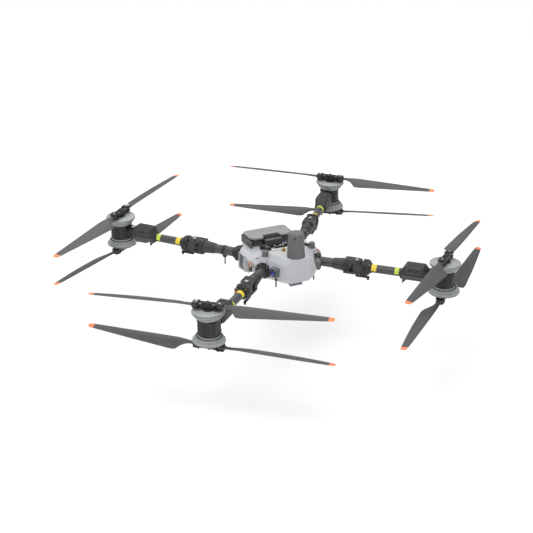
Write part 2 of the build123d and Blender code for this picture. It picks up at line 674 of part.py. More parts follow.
# ---------------------------------------------------------------- rotors
# Radius and distance from the arm axis of the bell, the motor's outer half, and its shaft.
BELL_PROFILE = [
    (0, 98), (97, 98), (102, 92), (102, 83), (95, 76), (87, 73), (87, 59),
    (82, 59), (82, 90), (14, 90), (14, 60), (0, 60),
]
BRIDGE_HALF_L = 101.0
BRIDGE_HALF_W = 28.0
PLATE_INNER = 7.7        # gap above and below a blade root, from the propeller plane
PLATE_T = 7.0
WEB_HALF_L = 49.0
BOSS_R = 30.0

# Blade sections: radius, leading edge, trailing edge, thickness and pitch. The trailing edge
# swells quickly after the narrow root, and the leading edge stays nearly straight.
BLADE_SECTIONS = [
    (99.0, 16.0, 16.0, 12.0, 0.0),
    (148.0, 22.0, 26.0, 12.0, 12.0),
    (196.0, 25.0, 74.0, 11.0, 18.0),
    (236.0, 26.0, 82.0, 10.0, 17.0),
    (470.0, 22.0, 62.0, 7.0, 12.0),
    (720.0, 17.0, 33.0, 4.0, 8.0),
    (PROP_RADIUS, 10.0, 20.0, 2.4, 7.0),
]
TIP_RISE = {"top": -5.0, "bottom": 6.0}


def blade_section_plane(corner, level, yaw, radius, rise, pitch, turn):
    """Plane across a blade: x runs to the leading edge, which is raised by the pitch."""
    up = motor_axis(corner, level)
    diagonal = Vector(corner["sx"], corner["sy"], 0).normalized()
    along = diagonal * cos(radians(yaw)) + up.cross(diagonal) * sin(radians(yaw))
    forward = up.cross(along) * turn
    chord = forward * cos(radians(pitch)) + up * sin(radians(pitch))
    origin = motor_base(corner, level) + up * (PROP_LIFT * level + rise) + along * radius
    return Plane(origin, x_dir=chord, z_dir=along)


for place, corner in CORNERS.items():
    for level_name, level in LEVELS.items():
        yaw = corner["yaw"][0 if level > 0 else 1]
        turn = corner["turn"] * level

        # The bell turns on the stator and carries the hub bridge, a pair of plates that
        # clamps both blade roots on their pins.
        with BuildPart() as rotor:
            with BuildSketch(axial_plane(corner, level)):
                Polygon(*BELL_PROFILE, align=None)
            revolve(axis=motor_line(corner, level))
            with BuildSketch(disc_plane(corner, level, 98.0, yaw)):
                Circle(BOSS_R)
            extrude(amount=PROP_LIFT - PLATE_INNER - 98.0)
            for start in (-PLATE_INNER - PLATE_T, PLATE_INNER):
                with BuildSketch(disc_plane(corner, level, PROP_LIFT + start, yaw)):
                    SlotOverall(2 * BRIDGE_HALF_L, 2 * BRIDGE_HALF_W)
                extrude(amount=PLATE_T)
            with BuildSketch(disc_plane(corner, level, PROP_LIFT - PLATE_INNER, yaw)):
                Rectangle(2 * WEB_HALF_L, 1.6 * BRIDGE_HALF_W)
            extrude(amount=2 * PLATE_INNER)
            with BuildSketch(disc_plane(corner, level, PROP_LIFT - PLATE_INNER - PLATE_T, yaw)):
                with Locations((-BLADE_PIVOT, 0), (BLADE_PIVOT, 0)):
                    Circle(BLADE_PIN_R)
            extrude(amount=2 * (PLATE_INNER + PLATE_T) + 4)
            with BuildSketch(disc_plane(corner, level, PROP_LIFT + PLATE_INNER + PLATE_T, yaw)):
                Circle(14)
            extrude(amount=7)
        save(rotor.part, f"rotor_{place}_{level_name}")

        for blade_name, half_turn in (("a", 0.0), ("b", 180.0)):
            blade_yaw = yaw + half_turn
            with BuildPart() as blade:
                for radius, lead, trail, thick, pitch in BLADE_SECTIONS:
                    rise = TIP_RISE[level_name] * (radius - BLADE_PIVOT) / (PROP_RADIUS - BLADE_PIVOT)
                    plane = blade_section_plane(corner, level, blade_yaw, radius, rise, pitch, turn)
                    upper = turn * 0.5 * thick
                    outline = [
                        (lead, 0), (0.5 * lead, upper), (-0.5 * trail, 0.8 * upper),
                        (-trail, 0), (-0.5 * trail, -0.6 * upper), (0.5 * lead, -upper),
                    ]
                    with BuildSketch(plane):
                        Polygon(*outline, align=None)
                loft(ruled=True)
                with BuildSketch(disc_plane(corner, level, PROP_LIFT - BLADE_ROOT_HALF_T, blade_yaw)):
                    with Locations((BLADE_PIVOT, 0)):
                        Circle(BLADE_ROOT_R)
                    with Locations((BLADE_PIVOT, 0)):
                        Rectangle(30, 34, align=(Align.MIN, Align.CENTER))
                extrude(amount=2 * BLADE_ROOT_HALF_T)
                with BuildSketch(disc_plane(corner, level, PROP_LIFT - 20, blade_yaw)):
                    with Locations((BLADE_PIVOT, 0)):
                        Circle(BLADE_PIN_R + FIT)
                extrude(amount=40, mode=Mode.SUBTRACT)
            save(blade.part, f"blade_{place}_{level_name}_{blade_name}")
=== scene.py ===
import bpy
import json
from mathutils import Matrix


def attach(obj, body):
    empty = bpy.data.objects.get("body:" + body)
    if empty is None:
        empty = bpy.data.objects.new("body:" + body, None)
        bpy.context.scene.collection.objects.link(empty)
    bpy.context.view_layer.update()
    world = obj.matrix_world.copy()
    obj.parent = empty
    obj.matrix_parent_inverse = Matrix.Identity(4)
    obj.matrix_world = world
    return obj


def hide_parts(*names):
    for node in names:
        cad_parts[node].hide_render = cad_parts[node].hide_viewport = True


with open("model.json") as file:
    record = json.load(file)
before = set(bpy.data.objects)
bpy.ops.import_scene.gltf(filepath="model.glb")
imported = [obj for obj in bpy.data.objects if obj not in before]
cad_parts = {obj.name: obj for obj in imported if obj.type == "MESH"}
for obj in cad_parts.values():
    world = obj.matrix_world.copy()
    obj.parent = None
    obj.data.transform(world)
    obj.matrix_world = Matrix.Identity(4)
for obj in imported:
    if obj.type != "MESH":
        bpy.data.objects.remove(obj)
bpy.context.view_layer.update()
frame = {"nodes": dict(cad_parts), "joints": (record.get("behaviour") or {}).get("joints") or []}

import json
import math

import bmesh
import bpy
import numpy as np
from mathutils import Matrix, Vector

# ---------------------------------------------------------------- camera
# A long lens looks down on the aircraft's right front quarter. All the angles are degrees,
# the target is in millimetres from the payload face, and ARM_Z is the height of the arm axes.
MM = 0.001
joints = {joint["name"]: joint for joint in frame["joints"]}
ARM_Z = joints["arm_fold_front_left"]["pos_m"][2] / MM
CAMERA_AZIMUTH = -24.11
CAMERA_ELEVATION = 24.23
CAMERA_ROLL = -0.393
CAMERA_DISTANCE = 8.6538
CAMERA_TARGET = np.array([-147.2, -169.0, ARM_Z + 0.1]) * MM
LENS_MM = 88.11
SENSOR_MM = 36.0
VIEW_REACH = 60.0


def camera_axes(azimuth, elevation, roll):
    """Right, up and back vectors of a camera turned round Z, lifted, then rolled."""
    azimuth, elevation, roll = np.radians([azimuth, elevation, roll])
    back = np.array([
        math.sin(azimuth) * math.cos(elevation),
        -math.cos(azimuth) * math.cos(elevation),
        math.sin(elevation),
    ])
    right = np.array([math.cos(azimuth), math.sin(azimuth), 0.0])
    up = np.cross(back, right)
    turned_right = math.cos(roll) * right + math.sin(roll) * up
    turned_up = math.cos(roll) * up - math.sin(roll) * right
    return turned_right, turned_up, back


right, up, back = camera_axes(CAMERA_AZIMUTH, CAMERA_ELEVATION, CAMERA_ROLL)
camera_data = bpy.data.cameras.new("camera")
camera_data.lens = LENS_MM
camera_data.sensor_width = SENSOR_MM
camera_data.clip_end = VIEW_REACH
camera = bpy.data.objects.new("camera", camera_data)
turn = Matrix(np.column_stack([right, up, back]).tolist()).to_4x4()
camera.matrix_world = Matrix.Translation(Vector(CAMERA_TARGET + back * CAMERA_DISTANCE)) @ turn
bpy.context.scene.collection.objects.link(camera)
bpy.context.scene.camera = camera

# ---------------------------------------------------------------- nose shell
# The nose and the rear cover are vacuum-formed ABS under a light satin grey paint. Their
# facets meet in soft edges, and both are screwed to the centre frame.
HANDLING_SCALE = 14.0
GLOSS_SPREAD = 0.05
GRAIN_HEIGHT = 0.0004
SAME_POINT = 1e-6
SHELL_EDGE = 7.0


def linear(colour):
    """sRGB hex to a linear RGBA tuple."""
    values = np.array([int(colour[i:i + 2], 16) for i in (1, 3, 5)]) / 255.0
    low = values / 12.92
    high = ((values + 0.055) / 1.055) ** 2.4
    return (*np.where(values <= 0.04045, low, high).tolist(), 1.0)


def add_node(tree, kind, inputs=None, **settings):
    """Adds one shader node, with its settings and its input values or links."""
    node = tree.nodes.new(kind)
    for name, value in settings.items():
        setattr(node, name, value)
    for name, value in (inputs or {}).items():
        if isinstance(value, bpy.types.NodeSocket):
            tree.links.new(value, node.inputs[name])
        else:
            node.inputs[name].default_value = value
    return node


def new_finish(name):
    """An empty material with its Principled shader and Object coordinates."""
    material = bpy.data.materials.new(name)
    material.use_nodes = True
    tree = material.node_tree
    shader = tree.nodes["Principled BSDF"]
    where = add_node(tree, "ShaderNodeTexCoord").outputs["Object"]
    return material, tree, shader, where


def moulded(name, colour, roughness, grain_mm=1.2, depth=0.12, vary=0.06, scuff=0.0):
    """Injection-moulded plastic: spark-eroded grain in the bump, and slow changes of tone
    and gloss from handling. grain_mm is the spacing of the grain."""
    material, tree, shader, where = new_finish(name)
    grain = add_node(
        tree, "ShaderNodeTexNoise",
        {"Vector": where, "Scale": 1.0 / (grain_mm * MM), "Detail": 2.0},
    )
    cloud = add_node(
        tree, "ShaderNodeTexNoise", {"Vector": where, "Scale": HANDLING_SCALE, "Detail": 4.0},
    )
    base = np.array(linear(colour))
    dark = (*(base[:3] * (1 - vary)).tolist(), 1.0)
    light = (*np.minimum(base[:3] * (1 + vary), 1).tolist(), 1.0)
    tone = add_node(
        tree, "ShaderNodeMix", {"Factor": cloud.outputs["Fac"], "A": dark, "B": light},
        data_type="RGBA",
    )
    tree.links.new(tone.outputs["Result"], shader.inputs["Base Color"])
    gloss = add_node(
        tree, "ShaderNodeMapRange",
        {"Value": cloud.outputs["Fac"], "From Min": 0.3, "From Max": 0.7,
         "To Min": roughness - GLOSS_SPREAD, "To Max": roughness + GLOSS_SPREAD + scuff},
    )
    tree.links.new(gloss.outputs["Result"], shader.inputs["Roughness"])
    bump = add_node(
        tree, "ShaderNodeBump",
        {"Strength": depth, "Distance": GRAIN_HEIGHT, "Height": grain.outputs["Fac"]},
    )
    tree.links.new(bump.outputs["Normal"], shader.inputs["Normal"])
    return material


shell_paint = moulded("satin painted ABS", "#B6B8BB", 0.42, grain_mm=2.0, depth=0.05, vary=0.03)
# Each station is its y, then the (x, z) of its five corners from the deck down.
NOSE_STATIONS = [
    (-104.0, [(130, 53), (205, 47), (240, 26), (240, -40), (205, -64)]),
    (-160.0, [(130, 58), (196, 55), (234, 26), (230, -42), (184, -68)]),
    (-170.0, [(130, 104), (188, 68), (228, 26), (222, -44), (176, -70)]),
    (-240.0, [(118, 107), (160, 76), (178, 24), (164, -58), (124, -74)]),
    (-320.0, [(92, 107), (124, 72), (142, 12), (124, -52), (84, -74)]),
    (-378.0, [(66, 107), (100, 68), (124, 16), (102, -30), (62, -56)]),
    (-406.0, [(48, 34), (64, 24), (70, 2), (64, -20), (46, -40)]),
]
REAR_STATIONS = [
    (190.0, [(140, 47), (158, 46), (170, 36), (170, -56), (158, -66)]),
    (134.0, [(150, 47), (186, 46), (201, 38), (201, -58), (188, -68)]),
    (76.0, [(150, 47), (214, 47), (235, 40), (235, -64), (222, -70)]),
    (-30.0, [(150, 49), (210, 46), (238, 34), (240, -60), (225, -70)]),
    (-103.0, [(130, 53), (205, 47), (239, 25), (239, -40), (205, -64)]),
]


def grid_faces(rows, columns):
    """Quads over a grid of points whose last column joins its first. Each takes a point, the next in
    its row, and the two beyond them in the next row."""
    index = np.arange(rows * columns).reshape(rows, columns)
    index = np.hstack([index, index[:, :1]])
    quads = np.stack([index[:-1, :-1], index[:-1, 1:], index[1:, 1:], index[1:, :-1]], -1)
    return quads.reshape(-1, 4).tolist()


def closed_grid(rings):
    """Points and faces of a tube of rings (rows, columns, 3), with one flat face over each end."""
    rows, columns = rings.shape[:2]
    points = rings.reshape(-1, 3)
    faces = grid_faces(rows, columns)
    faces.append(list(range(columns))[::-1])
    faces.append(list(range((rows - 1) * columns, rows * columns)))
    return points, faces


def faceted(stations):
    """Sections of ten corners across the aircraft, joined in flat facets. The five corners given for
    +X are mirrored by changing the sign of x."""
    rings = []
    for y, half in stations:
        half = np.array(half, float)
        right_half = np.column_stack([half[:, 0], np.full(len(half), y), half[:, 1] + ARM_Z])
        rings.append(np.vstack([right_half, (right_half * (-1, 1, 1))[::-1]]))
    return closed_grid(np.array(rings))


def piece(name, shape, body, finish, slot, smooth=35.0, extra=None):
    """Makes a mesh object from a shape in millimetres, and lets it ride on a body. extra is
    a second finish with a test on face centres that says where it goes."""
    points, faces = shape
    mesh = bpy.data.meshes.new(name)
    mesh.from_pydata((points * MM).tolist(), [], faces)
    mesh.validate()
    mesh.shade_smooth()
    mesh.set_sharp_from_angle(angle=math.radians(smooth))
    mesh.materials.append(finish)
    if extra:
        mesh.materials.append(extra[0])
        middles = np.empty(len(mesh.polygons) * 3)
        mesh.polygons.foreach_get("center", middles)
        chosen = extra[1](middles.reshape(-1, 3) / MM).astype(np.int32)
        mesh.polygons.foreach_set("material_index", chosen)
    made = bpy.data.objects.new(name, mesh)
    bpy.context.scene.collection.objects.link(made)
    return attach(made, body)


def outward(made):
    """Turns a closed piece's faces to point outwards."""
    work = bmesh.new()
    work.from_mesh(made.data)
    bmesh.ops.remove_doubles(work, verts=work.verts, dist=SAME_POINT)
    bmesh.ops.recalc_face_normals(work, faces=work.faces)
    work.to_mesh(made.data)
    work.free()
    return made


def finished(name, shape, body, finish, slot, **more):
    """A piece with its faces turned outwards."""
    return outward(piece(name, shape, body, finish, slot, **more))


def soften(made, width_mm, segments=3, angle=12.0):
    """Rounds the edges that turn by more than angle degrees with a bevel, and applies it."""
    made.data.shade_smooth()
    bevel = made.modifiers.new("soft edges", "BEVEL")
    bevel.width = width_mm * MM
    bevel.segments = segments
    bevel.limit_method = "ANGLE"
    bevel.angle_limit = math.radians(angle)
    bevel.use_clamp_overlap = True
    bevel.harden_normals = True
    bevelled = made.evaluated_get(bpy.context.evaluated_depsgraph_get())
    done = bpy.data.meshes.new_from_object(bevelled)
    made.modifiers.clear()
    made.data = done
    return made


nose = finished("nose_cover", faceted(NOSE_STATIONS), "airframe", shell_paint, "shell_grey")
soften(nose, SHELL_EDGE)
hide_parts("nose_shell")
rear = finished("rear_cover", faceted(REAR_STATIONS), "airframe", shell_paint, "shell_grey")
soften(rear, SHELL_EDGE)
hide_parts("rear_shell")

# ---------------------------------------------------------------- sensor tower
# A tapered housing of mid-grey ABS with a rounded crown and one slanting facet cut into it.
# It is moulded in one piece, and a small black eye looks out near its top.
POLE_RADIUS = 0.05


def place(origin, x_axis, z_axis):
    """4 by 4 matrix of a frame at origin (mm). z is z_axis made a unit, x is x_axis less its part
    along z, made a unit, and y is z cross x."""
    z = np.array(z_axis, float) / np.linalg.norm(z_axis)
    x = np.array(x_axis, float) - np.dot(x_axis, z) * z
    x /= np.linalg.norm(x)
    matrix = np.eye(4)
    matrix[:3, 0], matrix[:3, 1], matrix[:3, 2], matrix[:3, 3] = x, np.cross(z, x), z, origin
    return matrix


def centre(x, y, z):
    """Level frame at a point given from the centre line, with z above the arm axes."""
    return place((x, y, ARM_Z + z), (1, 0, 0), (0, 0, 1))


def carried(matrix, shape):
    """A shape taken from its local frame to the aircraft's: its points turned, then moved to the
    frame's origin."""
    points, faces = shape
    return points @ matrix[:3, :3].T + matrix[:3, 3], faces


def lathe(profile, segments=48):
    """A profile of (radius, z) turned round z: x is radius times the cosine of the angle, y radius
    times its sine. The profile starts and ends near the axis."""
    profile = np.array(profile, float)
    angles = np.linspace(0, 2 * math.pi, segments, endpoint=False)
    radius = np.maximum(profile[:, :1], POLE_RADIUS)
    height = profile[:, 1:] + 0 * angles
    rings = np.stack([radius * np.cos(angles), radius * np.sin(angles), height], -1)
    return closed_grid(rings)


black_nylon = moulded("black moulded nylon", "#1A1A1C", 0.5, grain_mm=1.6, depth=0.2)
tower_abs = moulded("mid-grey moulded ABS", "#626466", 0.55, grain_mm=1.4, depth=0.16)
TOWER_Y = -314.0
TOWER_BASE = 107.0
TOWER_H = 166.0
TOWER_TOP_R = 50
CROWN_R = 8
FACET_REACH = 24.0
crown = [
    (TOWER_TOP_R - CROWN_R * (1 - math.cos(a)), TOWER_H - CROWN_R + CROWN_R * math.sin(a))
    for a in np.linspace(0, math.pi / 2, 6)
]
tower_profile = [(0, 0), (59, 0), (60, 2), (59.3, 12)] + crown + [(30, TOWER_H), (0, TOWER_H)]
tower_points, tower_faces = lathe(tower_profile, 72)
facet = np.array([-0.62, -0.42, 0.66])
facet /= np.linalg.norm(facet)
beyond = np.maximum((tower_points - (0, 0, TOWER_H)) @ facet - FACET_REACH, 0)
tower_points = tower_points - beyond[:, None] * facet
tower = finished(
    "tower_housing", carried(centre(0, TOWER_Y, TOWER_BASE), (tower_points, tower_faces)),
    "airframe", tower_abs, "tower_grey",
)
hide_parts("sensor_tower")
TOWER_EYE = place((-27, TOWER_Y - 39, ARM_Z + TOWER_BASE + TOWER_H - 24), (1, 0, 0), (-0.56, -0.83, 0.05))
finished("tower_eye", carried(TOWER_EYE, lathe([(0, -4), (6, -4), (6, 4.5), (4.5, 5.5), (0, 5)], 24)),
         "airframe", black_nylon, "black_plastic")

# ---------------------------------------------------------------- antenna knobs
# Two screw-in satellite antennas of grey ABS, each in a round well moulded in the shell.
# Their edges are knurled for the fingers.
KNOB_X = 171.0
KNOB_Y = -201.0
KNOB_BASE = 92.0
KNURLS = 24
KNURL_DEPTH = 0.035


def joined(shapes):
    """Several (points, faces) made one."""
    points, faces, start = [], [], 0
    for more_points, more_faces in shapes:
        points.append(more_points)
        faces += [[corner + start for corner in face] for face in more_faces]
        start += len(more_points)
    return np.vstack(points), faces


knob_shapes, rim_shapes = [], []
for side in (-1, 1):
    here = centre(side * KNOB_X, KNOB_Y, KNOB_BASE)
    points, faces = lathe([
        (0, 0), (23.5, 0), (23.5, 5), (21, 7), (21, 33), (19, 37.5), (15, 39.6), (0, 40),
    ], 96)
    turned = np.arctan2(points[:, 1], points[:, 0])
    gripped = (points[:, 2] > 8) & (points[:, 2] < 34)
    knurl = 1 - KNURL_DEPTH * (np.cos(turned * KNURLS) > 0.2) * gripped
    points = points * np.column_stack([knurl, knurl, np.ones(len(points))])
    knob_shapes.append(carried(here, (points, faces)))
    rim_shapes.append(carried(here, lathe([
        (0, -34), (34, -34), (31, -3), (28, 1), (24.5, 1), (24.5, -1), (0, -1),
    ], 64)))
knobs = finished("antenna_covers", joined(knob_shapes), "airframe", tower_abs, "tower_grey")
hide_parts("antenna_knobs")
finished("antenna_wells", joined(rim_shapes), "airframe", shell_paint, "shell_grey")

# ---------------------------------------------------------------- side cameras
# Square die-cast housings let into the nose's flanks. Each has a deep round lens under
# blue-coated glass and four corner screws.
camera_grey = moulded("grey camera casting", "#595D5E", 0.45, grain_mm=0.9, depth=0.2)
steel, tree, shader, where = new_finish("turned stainless steel")
shader.inputs["Metallic"].default_value = 1.0
shader.inputs["Base Color"].default_value = linear("#B4B4B2")
streaks = add_node(tree, "ShaderNodeTexNoise", {"Vector": where, "Scale": 900.0, "Detail": 2.0})
gloss = add_node(
    tree, "ShaderNodeMapRange",
    {"Value": streaks.outputs["Fac"], "To Min": 0.25, "To Max": 0.42},
)
tree.links.new(gloss.outputs["Result"], shader.inputs["Roughness"])

lens_glass, tree, shader, where = new_finish("blue lens glass with painted highlight")
# The glass's dark blue is mixed in noise patches with a lighter blue, which is a painted highlight.
highlight_patches = add_node(tree, "ShaderNodeTexNoise", {"Vector": where, "Scale": 60.0})
lens_blue_and_highlight = add_node(
    tree, "ShaderNodeMix",
    {"Factor": highlight_patches.outputs["Fac"], "A": linear("#1B2460"), "B": linear("#3446A8")},
    data_type="RGBA",
)
tree.links.new(lens_blue_and_highlight.outputs["Result"], shader.inputs["Base Color"])
shader.inputs["Roughness"].default_value = 0.06
shader.inputs["Coat Weight"].default_value = 1.0
shader.inputs["Coat Roughness"].default_value = 0.03

CAMERA_SIZE = 60.0
CAMERA_PROUD = 24.0
CAMERA_SUNK = 14
CAMERA_X = 150.0
CAMERA_Y = -316.0
CAMERA_RISE = 20.0
CAMERA_SCREW = 24.5
CAMERA_OUT = (0.92, -0.39)


def moved(matrix, x=0.0, y=0.0, z=0.0):
    """The same frame with its origin moved along its own axes."""
    shifted = matrix.copy()
    shifted[:3, 3] += matrix[:3, :3] @ np.array([x, y, z], float)
    return shifted


def prism(outline, height, edge=0.0, low=0.0):
    """An outline of (x, y) raised from z=low by height. Its end faces are drawn towards its middle
    by edge, which chamfers them."""
    outline = np.array(outline, float)
    middle = outline.mean(0)
    reach = np.abs(outline - middle).max(0)
    rows = [(1, low + edge), (1, low + height - edge)]
    if edge:
        rows = [(0, low)] + rows + [(0, low + height)]
    rings = []
    for full, z in rows:
        drawn = outline if full else middle + (outline - middle) * (1 - edge / reach)
        rings.append(np.column_stack([drawn, np.full(len(outline), z)]))
    return closed_grid(np.array(rings))


def rounded_outline(length, width, corner, steps=5):
    """Rectangle centred on the origin. Each corner is a quarter circle about a point set in by the
    corner radius."""
    turns = np.linspace(0, math.pi / 2, steps)
    outline = []
    for quarter, (sx, sy) in enumerate(((1, 1), (-1, 1), (-1, -1), (1, -1))):
        angles = turns + quarter * math.pi / 2
        outline.append(np.column_stack([
            sx * (length / 2 - corner) + corner * np.cos(angles),
            sy * (width / 2 - corner) + corner * np.sin(angles),
        ]))
    return np.vstack(outline)


def block(length, width, height, corner=4.0, edge=1.5, low=0.0):
    """Rounded block that stands on z=low of its frame."""
    return prism(rounded_outline(length, width, corner), height, edge, low)


bezels, glasses, ring_shapes, screws = [], [], [], []
for side in (-1, 1):
    out_x, out_y = CAMERA_OUT
    here = place((side * CAMERA_X, CAMERA_Y, ARM_Z + CAMERA_RISE),
                 (-out_y * side, out_x, 0), (side * out_x, out_y, 0))
    bezels.append(carried(here, block(
        CAMERA_SIZE, CAMERA_SIZE, CAMERA_PROUD + CAMERA_SUNK, 7, 3, low=-CAMERA_SUNK)))
    bezels.append(carried(moved(here, 0, 0, CAMERA_PROUD - 1), block(46, 46, 3, 10, 1.2)))
    ring_shapes.append(carried(moved(here, 0, 0, CAMERA_PROUD), lathe(
        [(0, 0), (24, 0), (24, 4), (22, 5.5), (19.5, 4), (19.5, 2), (0, 2)], 48)))
    dome = [(19 * math.cos(a), 2 + 6.5 * math.sin(a)) for a in np.linspace(0, math.pi / 2, 9)]
    glasses.append(carried(moved(here, 0, 0, CAMERA_PROUD), lathe([(0, 0.5), (19, 0.5)] + dome, 48)))
    for sx in (-1, 1):
        for sy in (-1, 1):
            corner_place = moved(here, sx * CAMERA_SCREW, sy * CAMERA_SCREW, CAMERA_PROUD - 0.4)
            screws.append(carried(corner_place, lathe(
                [(0, 0), (2.6, 0), (2.6, 1.2), (1.6, 1.6), (1.2, 0.7), (0, 0.7)], 16)))
camera_bezels = finished("camera_bezels", joined(bezels), "airframe", camera_grey, "camera_grey")
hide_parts("side_cameras")
finished("camera_lens_rings", joined(ring_shapes), "airframe", black_nylon, "black_plastic")
finished("camera_lenses", joined(glasses), "airframe", lens_glass, "camera_grey")
finished("camera_screws", joined(screws), "airframe", steel, "pin_steel")

# ---------------------------------------------------------------- chin sensor
# A cast pod of light grey alloy under the nose, on small feet of black nylon. Two coated
# lenses look forwards out of its front.
CHIN_Y = -294
CHIN_LOW = -102.5
CHIN_LENGTH, CHIN_WIDTH, CHIN_H = 92, 66, 27
chin_grey = moulded("light grey chin casting", "#7C7E80", 0.5, grain_mm=1.0, depth=0.15)
chin = block(CHIN_LENGTH, CHIN_WIDTH, CHIN_H, 12, 4)
chin_place = centre(0, CHIN_Y, CHIN_LOW)
chin_pod = finished("chin_pod", carried(chin_place, chin), "airframe", chin_grey, "camera_grey")
soften(chin_pod, 1.5, 2)
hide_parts("chin_sensor")
foot = lathe([(0, 0.2), (6, 0.2), (7, 3), (7, 9), (0, 9)], 24)
feet = [carried(moved(chin_place, sx * 38, sy * 24), foot) for sx in (-1, 1) for sy in (-1, 1)]
finished("chin_feet", joined(feet), "airframe", black_nylon, "black_plastic")
eye = lathe([(0, -3), (9, -3), (9, 0.6), (7.5, 1.2), (6.5, 0.2), (0, 1.4)], 32)
eyes = [carried(place(chin_place[:3, 3] + (side * 20, -32.5, 12), (1, 0, 0), (0, -1, 0)), eye)
        for side in (-1, 1)]
finished("chin_lenses", joined(eyes), "airframe", lens_glass, "camera_grey")

# ---------------------------------------------------------------- side vents
# Each flank has an angular frame round a slatted outlet, and a grey junction box ahead of it.
vent_grey = moulded("grey vent nylon", "#8D9091", 0.55, grain_mm=1.2, depth=0.15)
VENT_X = 234.0
VENT_Y = 22.0
VENT_DROP = 20.0
SLATS = 6
SLAT_PITCH = 16.5
frames, slats, boxes, outlet_shades = [], [], [], []
for side in (-1, 1):
    here = place((side * VENT_X, VENT_Y, ARM_Z - VENT_DROP), (0, side, 0), (side, 0, 0))
    angular = [(-50, -54), (44, -62), (50, -54), (50, 42), (38, 52), (-50, 52)]
    outer = np.array(angular, float) * (side, 1)
    for start, stop in zip(outer, np.roll(outer, -1, axis=0)):
        middle_bar = (start + stop) / 2
        along_bar = stop - start
        bar_place = place(here[:3, 3] + here[:3, 0] * middle_bar[0] + here[:3, 1] * middle_bar[1],
                          here[:3, 0] * along_bar[0] + here[:3, 1] * along_bar[1], here[:3, 2])
        frames.append(carried(bar_place, block(np.linalg.norm(along_bar) + 9, 10, 12, 3, 1.5)))
    # Behind the slats a thin near-black plate is painted shade for the outlet's dark inside.
    outlet_shades.append(carried(here, prism(outer * 0.96, 3.0, 0.5)))
    for row in range(SLATS):
        slat_place = moved(here, 0, -42 + row * SLAT_PITCH, 2.5)
        slats.append(carried(slat_place, block(88, 4, 5, 1.5, 0.8)))
    box_place = place((side * 236.0, -74.0, ARM_Z - 22.0), (0, side, 0), (side, 0, 0))
    boxes.append(carried(box_place, block(40, 78, 13, 6, 3)))
finished("vent_frames", joined(frames), "airframe", shell_paint, "shell_grey")
# The outlet plates are painted shade, not a separate part.
finished("vent_outlet_shade", joined(outlet_shades), "airframe", black_nylon, "black_plastic")
finished("vent_slats", joined(slats), "airframe", vent_grey, "tower_grey")
finished("junction_boxes", joined(boxes), "airframe", vent_grey, "tower_grey")

# ---------------------------------------------------------------- side latches
# Cast loops with an orange lever, which hold the cargo bracket's hooks. They hang on a pin
# between two ears of the shell.
orange_abs, tree, shader, where = new_finish("orange gloss ABS")
wear = add_node(tree, "ShaderNodeTexNoise", {"Vector": where, "Scale": 45.0, "Detail": 5.0})
orange_tone = add_node(
    tree, "ShaderNodeMix", {"Factor": wear.outputs["Fac"], "A": linear("#A93D12"), "B": linear("#D9642C")},
    data_type="RGBA",
)
tree.links.new(orange_tone.outputs["Result"], shader.inputs["Base Color"])
shader.inputs["Roughness"].default_value = 0.35


def joint_point(name):
    """The point of a joint, in millimetres."""
    return np.array(joints[name]["pos_m"]) / MM


for side, name in ((1, "side_latch_left"), (-1, "side_latch_right")):
    pivot = joint_point(f"{name}_swing")
    here = place(pivot, (0, side, 0), (side, 0, 0))
    lever_part = carried(here, joined([
        carried(moved(np.eye(4), 0, 0, -5), block(27, 17, 10, 4, 1.5)),
        carried(moved(np.eye(4), 0, -17, -3.5), block(27, 22, 8, 5, 2)),
    ]))
    loop_bars = carried(here, joined([
        carried(moved(np.eye(4), -10.5, -40, -4), block(6, 34, 8, 2.5, 1.5)),
        carried(moved(np.eye(4), 10.5, -40, -4), block(6, 34, 8, 2.5, 1.5)),
        carried(moved(np.eye(4), 0, -55, -4), block(27, 7, 8, 2.5, 1.5)),
    ]))
    lever_piece = finished(f"{name}_lever", lever_part, name, orange_abs, "latch_orange")
    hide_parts(name)
    finished(f"{name}_loop", loop_bars, name, black_nylon, "black_plastic")
    ears = [carried(moved(here, end * 17.5, 0, -14), block(4, 20, 22, 1.5, 1.0)) for end in (-1, 1)]
    pin_place = place(pivot - (0, 20, 0), (1, 0, 0), (0, 1, 0))
    pin = carried(pin_place, lathe([(0, 0), (3, 0), (3, 40), (0, 40)], 20))
    finished(f"{name}_ears", joined(ears + [pin]), "airframe", shell_paint, "shell_grey")

# ---------------------------------------------------------------- battery
# A flat grey lid over a layered dark case, with a U-shaped hand recess in its front edge. It
# is moulded ABS, and the whole pack lifts out of its bay.
battery_top = moulded("battery lid ABS", "#8A8C8D", 0.5, grain_mm=1.6, depth=0.15, vary=0.05)
battery_side = moulded("battery case ABS", "#505254", 0.55, grain_mm=1.4, depth=0.2)
SLAB_LOW = 96.0
SLAB_T = 14.0
slab_outline = [
    (-124, 56), (-66, 56), (-54, 100), (54, 100), (66, 56), (124, 56), (158, 90),
    (158, 196), (140, 214), (-140, 214), (-158, 196), (-158, 90),
]


def slab(outline, low, height):
    """A plate of any outline of (x, y), raised from low by height, its ends as single faces."""
    outline = np.array(outline, float)
    rings = [np.column_stack([outline, np.full(len(outline), z)]) for z in (low, low + height)]
    return closed_grid(np.array(rings))


